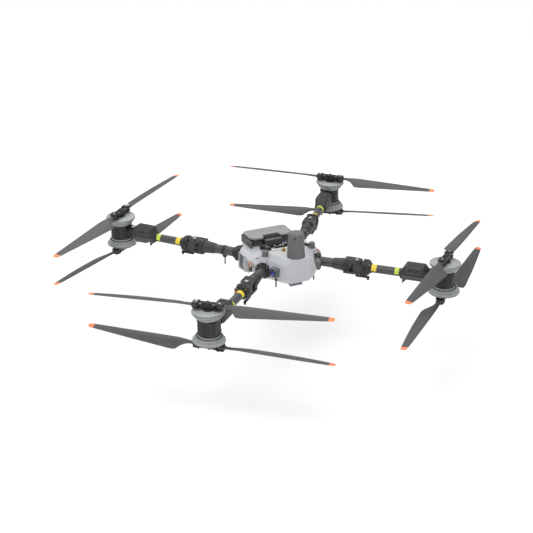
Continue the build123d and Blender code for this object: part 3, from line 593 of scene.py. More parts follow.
lid = finished("battery_lid", carried(centre(0, 0, 0), slab(slab_outline, SLAB_LOW, SLAB_T)),
               "battery", battery_top, "battery_grey")
soften(lid, 3.0, 3, 30)
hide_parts("battery_pack")
dark_layer = moulded("battery joint strip", "#222224", 0.6, grain_mm=1.0, depth=0.2)
notched = [
    (-124, 64), (-70, 64), (-58, 102), (58, 102), (70, 64), (124, 64),
    (150, 90), (150, 198), (-150, 198), (-150, 90),
]
narrow = (np.array(notched, float) - (0, 131)) * (0.975, 0.955) + (0, 131)
layers = [slab(notched, 88, 7.5), slab(notched, 70, 12), slab(notched, 48.5, 17)]
finished("battery_case", carried(centre(0, 0, 0), joined(layers)), "battery", battery_side, "battery_grey")
strips = [slab(narrow, 81, 8), slab(narrow, 64, 7)]
finished("battery_strips", carried(centre(0, 0, 0), joined(strips)), "battery", dark_layer, "battery_grey")
handle = [
    carried(centre(0, 76, 86), block(112, 14, 12, 5, 2.5)),
    carried(centre(-34, 90, 70), block(20, 22, 22, 3, 2)),
    carried(centre(30, 90, 68), block(34, 22, 20, 3, 2)),
]
finished("battery_handle", joined(handle), "battery", black_nylon, "black_plastic")
LAMP_PITCH = 24
RIDGE_PITCH = 12
lamp_cap = lathe([(0, -1), (2.6, -1), (2.6, 0.4), (0, 0.8)], 16)
lamps = [carried(centre(-36 + LAMP_PITCH * k, 107, SLAB_LOW + SLAB_T), lamp_cap) for k in range(4)]
pale_plastic = moulded("pale signal plastic", "#DCDDDA", 0.4, grain_mm=1.0, depth=0.05)
finished("battery_lamps", joined(lamps), "battery", pale_plastic, "shell_grey")
ridge = block(250, 2.2, 1.2, 1.0, 0.4)
ridges = [carried(centre(0, 150 + RIDGE_PITCH * k, SLAB_LOW + SLAB_T - 0.6), ridge) for k in range(4)]
finished("battery_ridges", joined(ridges), "battery", battery_top, "battery_grey")

# ---------------------------------------------------------------- battery bay and its cables
# A black cradle behind the nose's hump. Power and signal leads rise from its connector block
# in corrugated conduit, and a brass fitting stands on the hump.
NEAR_UPRIGHT = (0.31, 0.17, 0.94)
CONDUIT_R = 8.5
CONDUIT_PITCH = 6.0


def tube(path, radius, sides=12, ripple=0.0, pitch=6.0, samples=60):
    """Circles carried along a path of points that is sampled evenly and smoothed by averaging each
    sample with its neighbours. The radius swells by ripple times a cosine every pitch mm, as on
    corrugated conduit."""
    path = np.array(path, float)
    stretch = np.r_[0, np.cumsum(np.linalg.norm(np.diff(path, axis=0), axis=1))]
    t = np.linspace(0, stretch[-1], samples)
    line = np.column_stack([np.interp(t, stretch, path[:, axis]) for axis in range(3)])
    for _ in range(max(samples // 12, 1) * 6):
        line[1:-1] = 0.25 * line[:-2] + 0.5 * line[1:-1] + 0.25 * line[2:]
    ahead = np.gradient(line, axis=0)
    ahead /= np.linalg.norm(ahead, axis=1)[:, None]
    aside = np.cross(ahead, NEAR_UPRIGHT)
    aside /= np.linalg.norm(aside, axis=1)[:, None]
    above = np.cross(ahead, aside)
    angles = np.linspace(0, 2 * math.pi, sides, endpoint=False)[None, :, None]
    size = radius * (1 + ripple * np.cos(2 * math.pi * t / pitch))[:, None, None]
    round_it = np.cos(angles) * aside[:, None] + np.sin(angles) * above[:, None]
    rings = line[:, None] + size * round_it
    return closed_grid(rings)


def dress(node, finish):
    """Gives a CAD node a finish in place of its own."""
    cad = frame["nodes"][node]
    cad.data.materials.clear()
    cad.data.materials.append(finish)


rubber = moulded("black EPDM rubber", "#1B1B1C", 0.62, grain_mm=0.8, depth=0.25)
brass, tree, shader, where = new_finish("turned brass")
shader.inputs["Metallic"].default_value = 1.0
shader.inputs["Roughness"].default_value = 0.3
patina = add_node(tree, "ShaderNodeTexNoise", {"Vector": where, "Scale": 120.0, "Detail": 3.0})
brass_tone = add_node(
    tree, "ShaderNodeMix",
    {"Factor": patina.outputs["Fac"], "A": linear("#8A5E1C"), "B": linear("#E0B050")},
    data_type="RGBA",
)
tree.links.new(brass_tone.outputs["Result"], shader.inputs["Base Color"])
dress("battery_bay", battery_side)
plugs = [
    carried(centre(-78, -22, 47), block(50, 34, 22, 5, 2)),
    carried(centre(62, -20, 47), block(64, 30, 24, 5, 2)),
    carried(centre(4, -58, 50), block(70, 26, 30, 5, 2)),
    carried(centre(0, 6, 47), block(230, 16, 26, 3, 1.5)),
    carried(centre(-112, -84, 50), block(26, 26, 30, 4, 2)),
    carried(centre(96, -80, 50), block(34, 40, 26, 4, 2)),
]
finished("connector_block", joined(plugs), "airframe", black_nylon, "black_plastic")
STUD_POINTS = ((-20, -22, 66), (4, -58, 80), (20, -58, 80), (-78, -22, 69), (62, -20, 71), (44, -22, 71))
stud = lathe([(0, 0), (6, 0), (6, 6), (4, 8), (0, 8)], 20)
studs = [carried(centre(x, y, z), stud) for x, y, z in STUD_POINTS]
finished("connector_studs", joined(studs), "airframe", steel, "pin_steel")
finished("connector_bar", carried(centre(2, -92, 62), block(150, 10, 16, 3, 1.5)),
         "airframe", pale_plastic, "shell_grey")
conduits = []
for side in (-1, 1):
    route = [(side * 96, -18, 66), (side * 112, -60, 84), (side * 128, -110, 98), (side * 146, -152, 100),
             (side * 160, -176, 102), (side * 168, -188, 99)]
    route = [(x, y, z + ARM_Z) for x, y, z in route]
    conduits.append(tube(route, CONDUIT_R, 14, 0.16, CONDUIT_PITCH, 130))
finished("antenna_conduits", joined(conduits), "airframe", rubber, "black_plastic")
fitting = lathe([(0, -2), (13, -2), (13, 6), (10, 7), (10, 13), (7, 15), (7, 22), (4, 24), (0, 24)], 6)
finished("brass_fitting", joined([
    carried(centre(-34, -196, 106), fitting),
    carried(centre(-34, -196, 106), lathe([(0, -2), (14.5, -2), (14.5, 2.5), (0, 2.5)], 32)),
]), "airframe", brass, "pin_steel")
posts = []
for side in (-1, 1):
    posts.append(carried(centre(side * 160, 190, 44), block(10, 12, 52, 3, 1.5)))
    posts.append(carried(centre(side * 160, 66, 44), block(8, 10, 48, 2.5, 1.2)))
finished("bay_posts", joined(posts), "airframe", black_nylon, "black_plastic")

# ---------------------------------------------------------------- small shell hardware
# Screws in shallow wells, drain plugs, and two whip antennas under the nose.
DECK_SCREWS = ((176, -72, 47.8), (190, -18, 46.2), (186, 40, 46.0), (182, 100, 45.4), (150, 170, 46.6))
DRAIN_PLUGS = ((168, -128, 53.5), (196, -134, 50.5))
deck_screw = lathe([(0, -1), (5, -1), (5, 1.6), (3.6, 2.2), (2.4, 0.9), (0, 0.9)], 20)
drain_plug = lathe([(0, -2), (8, -2), (8, 2.4), (6, 3.4), (0, 2.6)], 24)
whip = lathe([(0, 0), (4, 0), (5, 2), (5, 44), (8, 52), (8, 66), (0, 66)], 20)
deck_screws, plugs, whips = [], [], []
for side in (-1, 1):
    deck_screws += [carried(centre(side * x, y, z), deck_screw) for x, y, z in DECK_SCREWS]
    plugs += [carried(centre(side * x, y, z), drain_plug) for x, y, z in DRAIN_PLUGS]
    whips.append(carried(centre(side * 138, -300, -96), whip))
finished("deck_screws", joined(deck_screws), "airframe", steel, "pin_steel")
finished("drain_plugs", joined(plugs), "airframe", black_nylon, "black_plastic")
finished("whip_antennas", joined(whips), "airframe", rubber, "black_plastic")

# ---------------------------------------------------------------- fixed half of the arms
# Carbon-fibre tubes in black nylon joints. The weave is 2 mm twill, drawn at 5 mm so that
# it shows.
carbon, tree, shader, where = new_finish("satin carbon-fibre tube")
WEAVE_MM = 5.0
WEAVE = 1 / (WEAVE_MM * MM)
warp = add_node(tree, "ShaderNodeTexWave", {"Vector": where, "Scale": WEAVE / 6, "Distortion": 0.4},
                wave_type="BANDS", bands_direction="DIAGONAL")
cells = add_node(tree, "ShaderNodeTexNoise", {"Vector": where, "Scale": WEAVE, "Detail": 1.0})
mixed = add_node(
    tree, "ShaderNodeMath", {0: warp.outputs["Fac"], 1: cells.outputs["Fac"]}, operation="MULTIPLY",
)
weave_tone = add_node(
    tree, "ShaderNodeMix",
    {"Factor": mixed.outputs["Value"], "A": linear("#39393B"), "B": linear("#5A5A5D")},
    data_type="RGBA",
)
tree.links.new(weave_tone.outputs["Result"], shader.inputs["Base Color"])
weave_bump = add_node(
    tree, "ShaderNodeBump",
    {"Strength": 0.25, "Distance": GRAIN_HEIGHT, "Height": mixed.outputs["Value"]},
)
tree.links.new(weave_bump.outputs["Normal"], shader.inputs["Normal"])
shader.inputs["Roughness"].default_value = 0.42

joint_nylon = moulded(
    "glass-filled nylon casting", "#323234", 0.48, grain_mm=1.8, depth=0.3, vary=0.1, scuff=0.06,
)
dress("inner_arm_tubes", carbon)
dress("arm_root_collars", rubber)
dress("fold_forks", joint_nylon)
dress("fold_pins", steel)
dress("centre_frame", camera_grey)
dress("flight_electronics", black_nylon)

CORNERS = ("front_left", "front_right", "rear_left", "rear_right")
JOINT_HALF_H = 44.0
JOINT_HALF_W = 40.0


def arm_place(corner, along=0.0, side=0.0, height=0.0):
    """Frame on an arm's axis: x outboard, y to the arm's left, origin `along` from the pivot."""
    pivot = joint_point(f"arm_fold_{corner}")
    rotor = joint_point(f"rotor_spin_{corner}_top")
    return moved(place(pivot, rotor - pivot, (0, 0, 1)), along, side, height)


def arm_cross(corner, along):
    """Frame across an arm, with z outboard and y up."""
    here = arm_place(corner, along)
    return place(here[:3, 3], here[:3, 1], here[:3, 0])


pin_cap = lathe([(0, 0), (32, 0), (31, 3), (24, 5), (19, 5), (17, 2), (0, 2)], 48)
fork_bolt = lathe([(0, 0), (4.5, 0), (4.5, 4), (3, 4), (3, 2), (0, 2)], 6)
fork_trim, fork_bolts, root_sockets = [], [], []
for corner in CORNERS:
    for end in (-1, 1):
        cap = arm_place(corner, 0, 0, end * JOINT_HALF_H)
        cap = place(cap[:3, 3], cap[:3, 0], (0, 0, end))
        fork_trim.append(carried(cap, pin_cap))
        fork_trim.append(carried(moved(cap, -62, 0, 0), block(34, 48, 3, 8, 1.2)))
        for side in (-1, 1):
            fork_bolts.append(carried(moved(cap, -70, side * 17, 2.5), fork_bolt))
            fork_trim.append(carried(moved(cap, -46, side * 34, -2), block(62, 6, 5, 2.5, 1.2)))
    for side in (-1, 1):
        flank = arm_place(corner, -66, side * JOINT_HALF_W)
        flank = place(flank[:3, 3], flank[:3, 0], side * flank[:3, 1])
        fork_trim.append(carried(flank, block(26, 62, 3.5, 6, 1.2)))
        fork_trim.append(carried(moved(flank, 24, 0, 0), block(16, 26, 2.5, 4, 1)))
    for k in range(3):
        ring = lathe([(0, 0), (40.5 - 1.8 * k, 0), (40.0 - 1.8 * k, 5), (0, 5)], 40)
        fork_trim.append(carried(arm_cross(corner, -116 - 20 * k), ring))
finished("fork_covers", joined(fork_trim), "airframe", black_nylon, "black_plastic")
finished("fork_bolts", joined(fork_bolts), "airframe", steel, "pin_steel")

# Each arm's root sits in a black plate on the shell, clamped by four screws.
ROOT_ALONG = {"front": -268, "rear": -337}
root_screw = lathe([(0, 0), (4.5, 0), (4.5, 3), (3, 3.6), (2.4, 1.6), (0, 1.6)], 16)
root_screws = []
for corner in CORNERS:
    here = arm_cross(corner, ROOT_ALONG[corner.split("_")[0]])
    root_sockets.append(carried(here, block(98, 94, 30, 26, 3, low=-24)))
    root_sockets.append(carried(here, lathe([(0, 0), (42, 0), (41, 9), (37, 13), (34, 14), (0, 14)], 56)))
    for sx in (-1, 1):
        for sy in (-1, 1):
            root_screws.append(carried(moved(here, sx * 36, sy * 34, 5.6), root_screw))
finished("arm_sockets", joined(root_sockets), "airframe", black_nylon, "black_plastic")
finished("arm_socket_screws", joined(root_screws), "airframe", steel, "pin_steel")

# The rear arms' inner tubes carry a clip with a whip antenna.
CLIP_ALONG = -232
clips, rods = [], []
for corner in ("rear_left", "rear_right"):
    clip = arm_cross(corner, CLIP_ALONG)
    clips.append(carried(clip, lathe([(0, -11), (35, -11), (35, 11), (0, 11)], 40)))
    hang = arm_place(corner, CLIP_ALONG, 0, -33)
    down = place(hang[:3, 3], hang[:3, 0], (0, 0, -1))
    clips.append(carried(down, block(26, 22, 16, 4, 2)))
    rods.append(carried(down, lathe([(0, 0), (4.5, 0), (4.5, 70), (0, 72)], 16)))
finished("antenna_clips", joined(clips), "airframe", black_nylon, "black_plastic")
finished("rear_whip_antennas", joined(rods), "airframe", rubber, "black_plastic")

# ---------------------------------------------------------------- moving half of the arms
# A knuckle with its bolted flange, two safety bands on the tube, the speed controller's
# finned box and the motor mount with its leads.
band_yellow = moulded("yellow vinyl band", "#E9CC38", 0.4, grain_mm=1.0, depth=0.05)
band_green = moulded("yellow-green vinyl band", "#C8D548", 0.4, grain_mm=1.0, depth=0.05)
esc_nylon = moulded("black heat-sink nylon", "#262628", 0.46, grain_mm=1.4, depth=0.25, vary=0.1)
fin_grey = moulded("worn grey heat-sink fins", "#4C4D4F", 0.5, grain_mm=1.2, depth=0.2, vary=0.12)
BLOCK_ALONG = 60.0
BLOCK_HALF_W = 38.0
FLANGE_FACE = 86.0
ESC_START = 300.0
ESC_END = 486.0
ESC_TOP = 70.0
ESC_LOW = -32.0
ESC_HALF_W = 46.0
ROTOR_ALONG = 590.0
MOUNT_HALF = 61.0
MOUNT_LOW = -44.0
MOUNT_HIGH = 60.0
MOUNT_CHAMFER = 22.0
TOP_RAISE = 16.0
LEVELS = {"top": 1, "bottom": -1}
FIN_PITCH = 12
RIB_PITCH = 20
# Each band: how far out it starts, its width, its vinyl and its name.
BANDS = ((103, 36, band_yellow, "inner"), (262, 28, band_green, "outer"))


def rotor_place(corner, level, lift):
    """Frame on a motor's axis: x along blade a, z away from the arm."""
    axis = np.array(joints[f"rotor_spin_{corner}_{level}"]["axis"])
    blade_a = joint_point(f"blade_fold_{corner}_{level}_a")
    blade_b = joint_point(f"blade_fold_{corner}_{level}_b")
    away = axis * LEVELS[level]
    raised = lift + (TOP_RAISE if level == "top" else 0.0)
    return place(joint_point(f"rotor_spin_{corner}_{level}") + away * raised, blade_a - blade_b, away)


def sleeve(inner, outer, length, start, stop):
    """Part of a ring: the rectangle between two radii and two heights, turned about z from one
    angle to another."""
    angles = np.radians(np.linspace(start, stop, 40))[:, None]
    radius = np.array([inner, outer, outer, inner])[None]
    height = np.array([0, 0, length, length])[None] + 0 * angles
    return closed_grid(np.stack([radius * np.cos(angles), radius * np.sin(angles), height], -1))


def bevelled_box(stations):
    """Eight-cornered sections (along, half width, low, high, bevel) joined along an arm. The
    first axis runs outboard, the second to the left and the third up."""
    rings = []
    for along, half, low, high, cut in stations:
        across = np.array([half, half, half - cut, cut - half, -half, -half, cut - half, half - cut])
        height = np.array([low + cut, high - cut, high, high, high - cut, low + cut, low, low])
        rings.append(np.column_stack([np.full(8, along), across, height]))
    return closed_grid(np.array(rings, float))


def flank_place(corner, along, side, reach, height):
    """Frame on an arm's flank, its x outboard and its z out of the flank."""
    here = arm_place(corner, along, side * reach, height)
    return place(here[:3, 3], here[:3, 0], side * here[:3, 1])


for corner in CORNERS:
    body = f"arm_{corner}"
    lever_side = -joints[f"fold_latch_swing_{corner}"]["axis"][2]
    dress(f"fold_knuckle_{corner}", joint_nylon)
    dress(f"outer_tube_{corner}", carbon)
    arm = arm_place(corner)

    trim = [carried(arm_cross(corner, FLANGE_FACE), block(76, 82, 4, 18, 1.5))]
    trim.append(carried(arm_cross(corner, FLANGE_FACE + 4), lathe(
        [(0, 0), (36, 0), (35, 4), (33, 13), (31, 14), (0, 14)], 48)))
    bolts = []
    for sx in (-1, 1):
        for sy in (-1, 1):
            here = moved(arm_cross(corner, FLANGE_FACE + 4), sx * 30, sy * 32, 0)
            bolts.append(carried(here, lathe([(0, 0), (5, 0), (5, 3.6), (3, 3.6), (3, 2), (0, 2)], 6)))
    for side in (-1, 1):
        if side != lever_side:
            plate = flank_place(corner, BLOCK_ALONG, side, BLOCK_HALF_W, 0)
            trim.append(carried(plate, block(28, 60, 4, 6, 1.5)))
            boss = flank_place(corner, BLOCK_ALONG, side, BLOCK_HALF_W + 3, 8)
            trim.append(carried(boss, block(14, 22, 5, 4, 1.5)))
    for end in (-1, 1):
        pad = arm_place(corner, BLOCK_ALONG + 1, 0, end * JOINT_HALF_H)
        pad = place(pad[:3, 3], pad[:3, 0], (0, 0, end))
        trim.append(carried(pad, block(26, 56, 4, 8, 1.5)))
        trim.append(carried(moved(pad, 0, 0, 3), block(12, 34, 4, 4, 1.5)))
    # The release lever lies along the joint's underside, with its hook outboard.
    under = arm_place(corner, 46, -lever_side * 22, -JOINT_HALF_H - 9)
    under = place(under[:3, 3], under[:3, 0] + (0, 0, 0.12), (0, 0, -1))
    trim.append(carried(under, block(96, 18, 11, 6, 2.5)))
    trim.append(carried(moved(under, 38, 0, 9), block(16, 14, 16, 5, 2.5)))
    trim.append(carried(moved(under, -8, 0, -8), block(22, 22, 12, 5, 2)))
    finished(f"knuckle_trim_{corner}", joined(trim), body, black_nylon, "black_plastic")
    finished(f"knuckle_bolts_{corner}", joined(bolts), body, steel, "pin_steel")

    for along, width, finish, tag in BANDS:
        band = carried(arm_cross(corner, along), sleeve(26.5, 28.6, width, -15, 195))
        finished(f"band_{tag}_{corner}", band, body, finish, "latch_orange")

    housing = finished(f"speed_controller_{corner}", carried(arm, bevelled_box([
        (ESC_START, 33, -26, 20, 9), (ESC_START + 6, 42, ESC_LOW, 26, 10),
        (ESC_START + 34, ESC_HALF_W, ESC_LOW, ESC_TOP, 10),
        (ESC_END - 30, ESC_HALF_W, ESC_LOW, ESC_TOP, 10), (ESC_END, 38, ESC_LOW + 4, ESC_TOP - 30, 9),
    ])), body, esc_nylon, "black_plastic")
    soften(housing, 2.5)
    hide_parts(f"esc_housing_{corner}")
    lean = -1 if joint_point(f"arm_fold_{corner}")[1] < 0 else 1
    keel = np.array([(-22, 0), (22, 0), (lean * 22 + 4, -46), (lean * 22 - 4, -46)][::lean], float)
    sink = [carried(flank_place(corner, ESC_START + 34, -1, -4, ESC_LOW + 6), prism(keel, 8, 1.2))]
    for k in range(8):
        fin = arm_place(corner, ESC_START + 56 + FIN_PITCH * k, 0, ESC_TOP - 0.5)
        sink.append(carried(fin, block(4, 60, 4.5, 1.5, 1)))
    dark = []
    for side in (-1, 1):
        for k in range(5):
            rib = flank_place(corner, ESC_START + 52 + RIB_PITCH * k, side, ESC_HALF_W - 0.5, 40)
            sink.append(carried(rib, block(6, 30, 3.5, 2, 1)))
            if k < 4:
                # Between the ribs lie thin near-black plates, painted shade standing for the dark insides of
                # the vent slots.
                slot_shade_place = flank_place(corner, ESC_START + 62 + RIB_PITCH * k, side, ESC_HALF_W - 0.4, 40)
                dark.append(carried(slot_shade_place, block(13.5, 25, 1.0, 4, 0.4)))
        for height in (22, 57):
            rail = flank_place(corner, ESC_START + 92, side, ESC_HALF_W - 0.5, height)
            sink.append(carried(rail, block(104, 5, 3.5, 2, 1)))
        strip = flank_place(corner, ESC_START + 92, side, ESC_HALF_W - 0.5, -8)
        sink.append(carried(strip, block(150, 16, 3, 5, 1)))
        for k in range(6):
            stud_place = flank_place(corner, ESC_START + 42 + RIB_PITCH * k, side, ESC_HALF_W + 1.5, -8)
            sink.append(carried(stud_place, block(9, 10, 2.5, 2, 0.8)))
    finished(f"esc_ribs_{corner}", joined(sink), body, fin_grey, "black_plastic")
    # The near-black slot plates are painted shade of the openings.
    finished(f"esc_slot_shades_{corner}", joined(dark), body, rubber, "black_plastic")

    leads = []
    for end in (-1, 1):
        for k in (-1, 0, 1):
            start = arm_place(corner, ESC_END - 12, k * 16, end * 12 + 10)[:3, 3]
            over = arm_place(corner, ESC_END + 10, k * 22, end * 34 + 18)[:3, 3]
            lean_point = arm_place(corner, ESC_END + 28, k * 18, end * 38 + 12)[:3, 3]
            stop = arm_place(corner, ROTOR_ALONG - 58, k * 14, end * 30 + 8)[:3, 3]
            leads.append(tube([start, over, lean_point, stop], 3.6, 10, samples=28))
    finished(f"motor_leads_{corner}", joined(leads), body, rubber, "black_plastic")

    # The mount's block is chamfered at its corners, and each open face has a ribbed cover.
    straight = MOUNT_HALF - MOUNT_CHAMFER
    outline = np.array([
        (MOUNT_HALF, straight), (straight, MOUNT_HALF), (-straight, MOUNT_HALF),
        (-MOUNT_HALF, straight), (-MOUNT_HALF, -straight), (-straight, -MOUNT_HALF),
        (straight, -MOUNT_HALF), (MOUNT_HALF, -straight),
    ])
    mount_middle = moved(arm, ROTOR_ALONG, 0, 0)
    mount_shapes = [
        carried(mount_middle, prism(outline, MOUNT_HIGH - MOUNT_LOW, 3, low=MOUNT_LOW)),
        carried(mount_middle, prism(outline * 1.05, 10, 2, low=MOUNT_HIGH - 16)),
        carried(mount_middle, prism(outline * 1.05, 10, 2, low=MOUNT_LOW + 6)),
        carried(arm_cross(corner, 496), lathe([(0, 0), (35, 0), (36, 2), (36, 50), (0, 50)], 48)),
        carried(arm_cross(corner, 506), lathe([(0, 0), (39, 0), (39, 12), (0, 12)], 48)),
    ]
    for level in LEVELS:
        mount_shapes.append(carried(rotor_place(corner, level, 0), lathe(
            [(0, 38), (70, 38), (70, 56), (78, 56), (78, 86), (18, 86), (18, 52), (0, 52)], 64)))
    mount = finished(f"mount_block_{corner}", joined(mount_shapes), body, esc_nylon, "black_plastic")
    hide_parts(f"motor_mount_{corner}")
    panels = []
    for turn_angle in (-135, -90, -45, 0, 45, 90, 135):
        facing = math.radians(turn_angle)
        radial = arm[:3, 0] * math.cos(facing) + arm[:3, 1] * math.sin(facing)
        square = turn_angle % 90 == 0
        reach = MOUNT_HALF if square else (MOUNT_HALF - MOUNT_CHAMFER / 2) * math.sqrt(2)
        panel_point = mount_middle[:3, 3] + radial * (reach - 0.6) + (0, 0, 8)
        panel = place(panel_point, np.cross((0, 0, 1), radial), radial)
        panels.append(carried(panel, block(56 if square else 20, 58, 3, 6 if square else 4, 1.2)))
        for height in (-18, -6, 6, 18):
            ridge = block(42 if square else 12, 4, 2.5, 1.8, 0.8)
            panels.append(carried(moved(panel, 0, height, 2.2), ridge))
    finished(f"mount_panels_{corner}", joined(panels), body, black_nylon, "black_plastic")

# ---------------------------------------------------------------- fold latches
# Orange levers of gloss ABS on each joint's flank, cranked outwards for a thumb. Each turns
# on an upright steel pin.
for corner in CORNERS:
    body = f"latch_{corner}"
    pivot = joint_point(f"fold_latch_swing_{corner}")
    lever_side = -joints[f"fold_latch_swing_{corner}"]["axis"][2]
    here = arm_place(corner)
    here[:3, 3] = pivot
    flat = place(pivot, here[:3, 0], lever_side * here[:3, 1])
    barrel = lathe([(0, 0), (6, 0), (6, 27.6), (0, 27.6)], 28)
    shape = joined([
        carried(moved(flat, -14, 0, -2.5), block(30, 27, 7.5, 5, 2)),
        carried(moved(flat, -22, 0, 2), block(13, 27, 9, 4, 2)),
        carried(place(pivot - (0, 0, 13.8), here[:3, 0], (0, 0, 1)), barrel),
    ])
    lever = finished(f"fold_lever_{corner}", shape, body, orange_abs, "latch_orange")
    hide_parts(f"fold_latch_{corner}")
    pin_place = place(pivot - (0, 0, 18.5), here[:3, 0], (0, 0, 1))
    pin = carried(pin_place, lathe([(0, 0), (3, 0), (3, 37), (0, 37)], 20))
    finished(f"fold_lever_pin_{corner}", pin, body, steel, "pin_steel")

# ---------------------------------------------------------------- motors
# Each bell is spun alloy under a pale grey powder coat, with a slotted rim. The hub bridge on
# it is black nylon: two plates, a pair of clamp blocks and a raised centre.
bell_coat = moulded("pale grey powder coat on alloy", "#9EA1A2", 0.44, grain_mm=0.9, depth=0.12, vary=0.04)
hub_nylon = moulded("black carbon-filled nylon hub", "#161618", 0.42, grain_mm=1.2, depth=0.25, vary=0.1)
signal_red = moulded("red signal plug", "#B5282B", 0.35, grain_mm=1.0, depth=0.02)
PROP_LIFT = 126.0
BELL_SLOTS = 40
BELL_SCREWS = 8
SCREW_CIRCLE = 84
BLADE_PIVOT = 75.0
PLATE_T = 7
MARK_FACING = (-0.407, -0.914, 0.0)
BELL = [
    (0, 98), (88, 98), (90, 97), (94, 97.4), (98, 96.8), (101, 95), (102, 92), (102, 83), (101, 81.4),
    (99, 80.6), (90, 79.8), (87.5, 78.6), (87.5, 71), (85.2, 70.2), (84.6, 68.6), (84.6, 67.4),
    (87, 66.6), (87, 60.5),
    (86, 59.2), (82, 59.2), (82, 90), (14, 90), (14, 60), (0, 60),
]
for corner in CORNERS:
    rings = []
    for level in LEVELS:
        base = rotor_place(corner, level, 0)
        rings.append(carried(base, lathe([
            (60, 45.5), (70.5, 45.5), (71, 46), (71, 55), (70, 56.2), (60, 56.2),
        ], 64)))
        rings.append(carried(base, lathe([
            (60, 56.1), (79, 56.1), (79.6, 56.6), (79.6, 58.2), (79, 58.6), (60, 58.6),
        ], 64)))
    finished(f"stator_rings_{corner}", joined(rings), f"arm_{corner}", bell_coat, "motor_alloy")
    for level in LEVELS:
        body = f"rotor_{corner}_{level}"
        base = rotor_place(corner, level, 0)
        bell_shape = carried(base, lathe(BELL, 96))
        bell = finished(f"bell_{corner}_{level}", bell_shape, body, bell_coat, "motor_alloy")
        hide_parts(body)
        rim_slot_shades = []
        # Each rim slot is a thin black plate, painted shade standing for the opening.
        for k in range(BELL_SLOTS):
            angle = 2 * math.pi * k / BELL_SLOTS
            radial = base[:3, 0] * math.cos(angle) + base[:3, 1] * math.sin(angle)
            here = place(base[:3, 3] + base[:3, 2] * 90.5 + radial * 100.6, base[:3, 2], radial)
            rim_slot_shades.append(carried(here, block(7.5, 8, 1.8, 2, 0.3)))
        # The rim slot plates are painted shade of the openings.
        finished(f"bell_slot_shades_{corner}_{level}", joined(rim_slot_shades), body, rubber, "black_plastic")
        screws = []
        for k in range(BELL_SCREWS):
            angle = 2 * math.pi * (k + 0.5) / BELL_SCREWS
            here = moved(base, SCREW_CIRCLE * math.cos(angle), SCREW_CIRCLE * math.sin(angle), 97.6)
            screws.append(carried(here, lathe(
                [(0, 0), (3.5, 0), (3.5, 1.6), (2, 1.6), (2, 0.6), (0, 0.6)], 16)))
        mid = rotor_place(corner, level, PROP_LIFT)
        for side in (-1, 1):
            pivot_place = moved(mid, side * BLADE_PIVOT, 0, -15.5)
            screws.append(carried(pivot_place, lathe([(0, 0), (5, 0), (5, 34), (0, 34)], 24)))
            nut_place = moved(mid, side * BLADE_PIVOT, 0, 18)
            screws.append(carried(nut_place, lathe([(0, 0), (9, 0), (9, 5), (7.5, 6), (0, 6)], 6)))
            for k in (-1, 1):
                screws.append(carried(moved(mid, side * 40, k * 17, 13.5), lathe(
                    [(0, 0), (5, 0), (5, 4), (3, 4), (3, 2), (0, 2)], 20)))
        finished(f"hub_bolts_{corner}_{level}", joined(screws), body, steel, "pin_steel")
        waist = [(-101, -12), (-88, -28), (-52, -28), (-40, -20), (40, -20), (52, -28), (88, -28), (101, -12),
                 (101, 12), (88, 28), (52, 28), (40, 20), (-40, 20), (-52, 28), (-88, 28), (-101, 12)]
        hub = [
            carried(moved(mid, 0, 0, -14.7), slab(waist, 0, PLATE_T)),
            carried(moved(mid, 0, 0, 7.7), slab(waist, 0, PLATE_T)),
            carried(moved(mid, 0, 0, -7.7), slab([(-49, -20), (49, -20), (49, 20), (-49, 20)], 0, 15.4)),
            carried(rotor_place(corner, level, 98), lathe(
                [(0, -0.5), (34, -0.5), (34, 6), (29, 8), (29, 14), (0, 14)], 48)),
            carried(moved(mid, 0, 0, 13), lathe(
                [(0, 0), (19, 0), (19, 4), (14, 6), (8, 15), (5, 17), (0, 17)], 40)),
        ]
        for side in (-1, 1):
            hub.append(carried(moved(mid, side * 76, 0, 13.5), block(46, 50, 6, 8, 2)))
            hub.append(carried(moved(mid, side * 62, 0, 13.5), block(12, 50, 10, 3, 2)))
            for k in (-1, 1):
                hub.append(carried(moved(mid, side * 26, k * 12, 13.5), block(34, 5, 6, 2, 1)))
        hub_piece = finished(f"hub_{corner}_{level}", joined(hub), body, hub_nylon, "black_plastic")
        soften(hub_piece, 1.2, 2, 40)
    lamp = rotor_place(corner, "bottom", 0)
    aim = np.array(MARK_FACING)
    radial = aim - np.dot(aim, lamp[:3, 2]) * lamp[:3, 2]
    radial /= np.linalg.norm(radial)
    here = place(lamp[:3, 3] + lamp[:3, 2] * 69 + radial * 86.4, lamp[:3, 2], radial)
    finished(f"bell_mark_{corner}", carried(here, lathe([(0, 0), (3.2, 0), (3.2, 1.2), (0, 1.4)], 20)),
             f"rotor_{corner}_bottom", signal_red, "latch_orange")

# ---------------------------------------------------------------- blades
# Carbon-filled nylon, drawn by its mould along the span, with a painted orange tip. The
# trailing edge swells quickly behind the narrow root, then tapers to the tip.
blade_nylon, tree, shader, where = new_finish("carbon-filled nylon blade")
flow = add_node(
    tree, "ShaderNodeTexNoise",
    {"Vector": where, "Scale": 30.0, "Detail": 6.0, "Roughness": 0.6},
)
blade_tone = add_node(
    tree, "ShaderNodeMix",
    {"Factor": flow.outputs["Fac"], "A": linear("#3A3A3B"), "B": linear("#525253")},
    data_type="RGBA",
)
tree.links.new(blade_tone.outputs["Result"], shader.inputs["Base Color"])
chop = add_node(tree, "ShaderNodeTexNoise", {"Vector": where, "Scale": 700.0, "Detail": 3.0})
blade_gloss = add_node(
    tree, "ShaderNodeMapRange",
    {"Value": flow.outputs["Fac"], "To Min": 0.4, "To Max": 0.56},
)
tree.links.new(blade_gloss.outputs["Result"], shader.inputs["Roughness"])
blade_bump = add_node(
    tree, "ShaderNodeBump",
    {"Strength": 0.15, "Distance": 0.0003, "Height": chop.outputs["Fac"]},
)
tree.links.new(blade_bump.outputs["Normal"], shader.inputs["Normal"])
tip_paint = moulded("orange tip paint", "#EE8350", 0.45, grain_mm=1.0, depth=0.05)

PROP_RADIUS = 787.5
TIP_START = 758.0
TIP_RISE = {"top": -5.0, "bottom": 6.0}
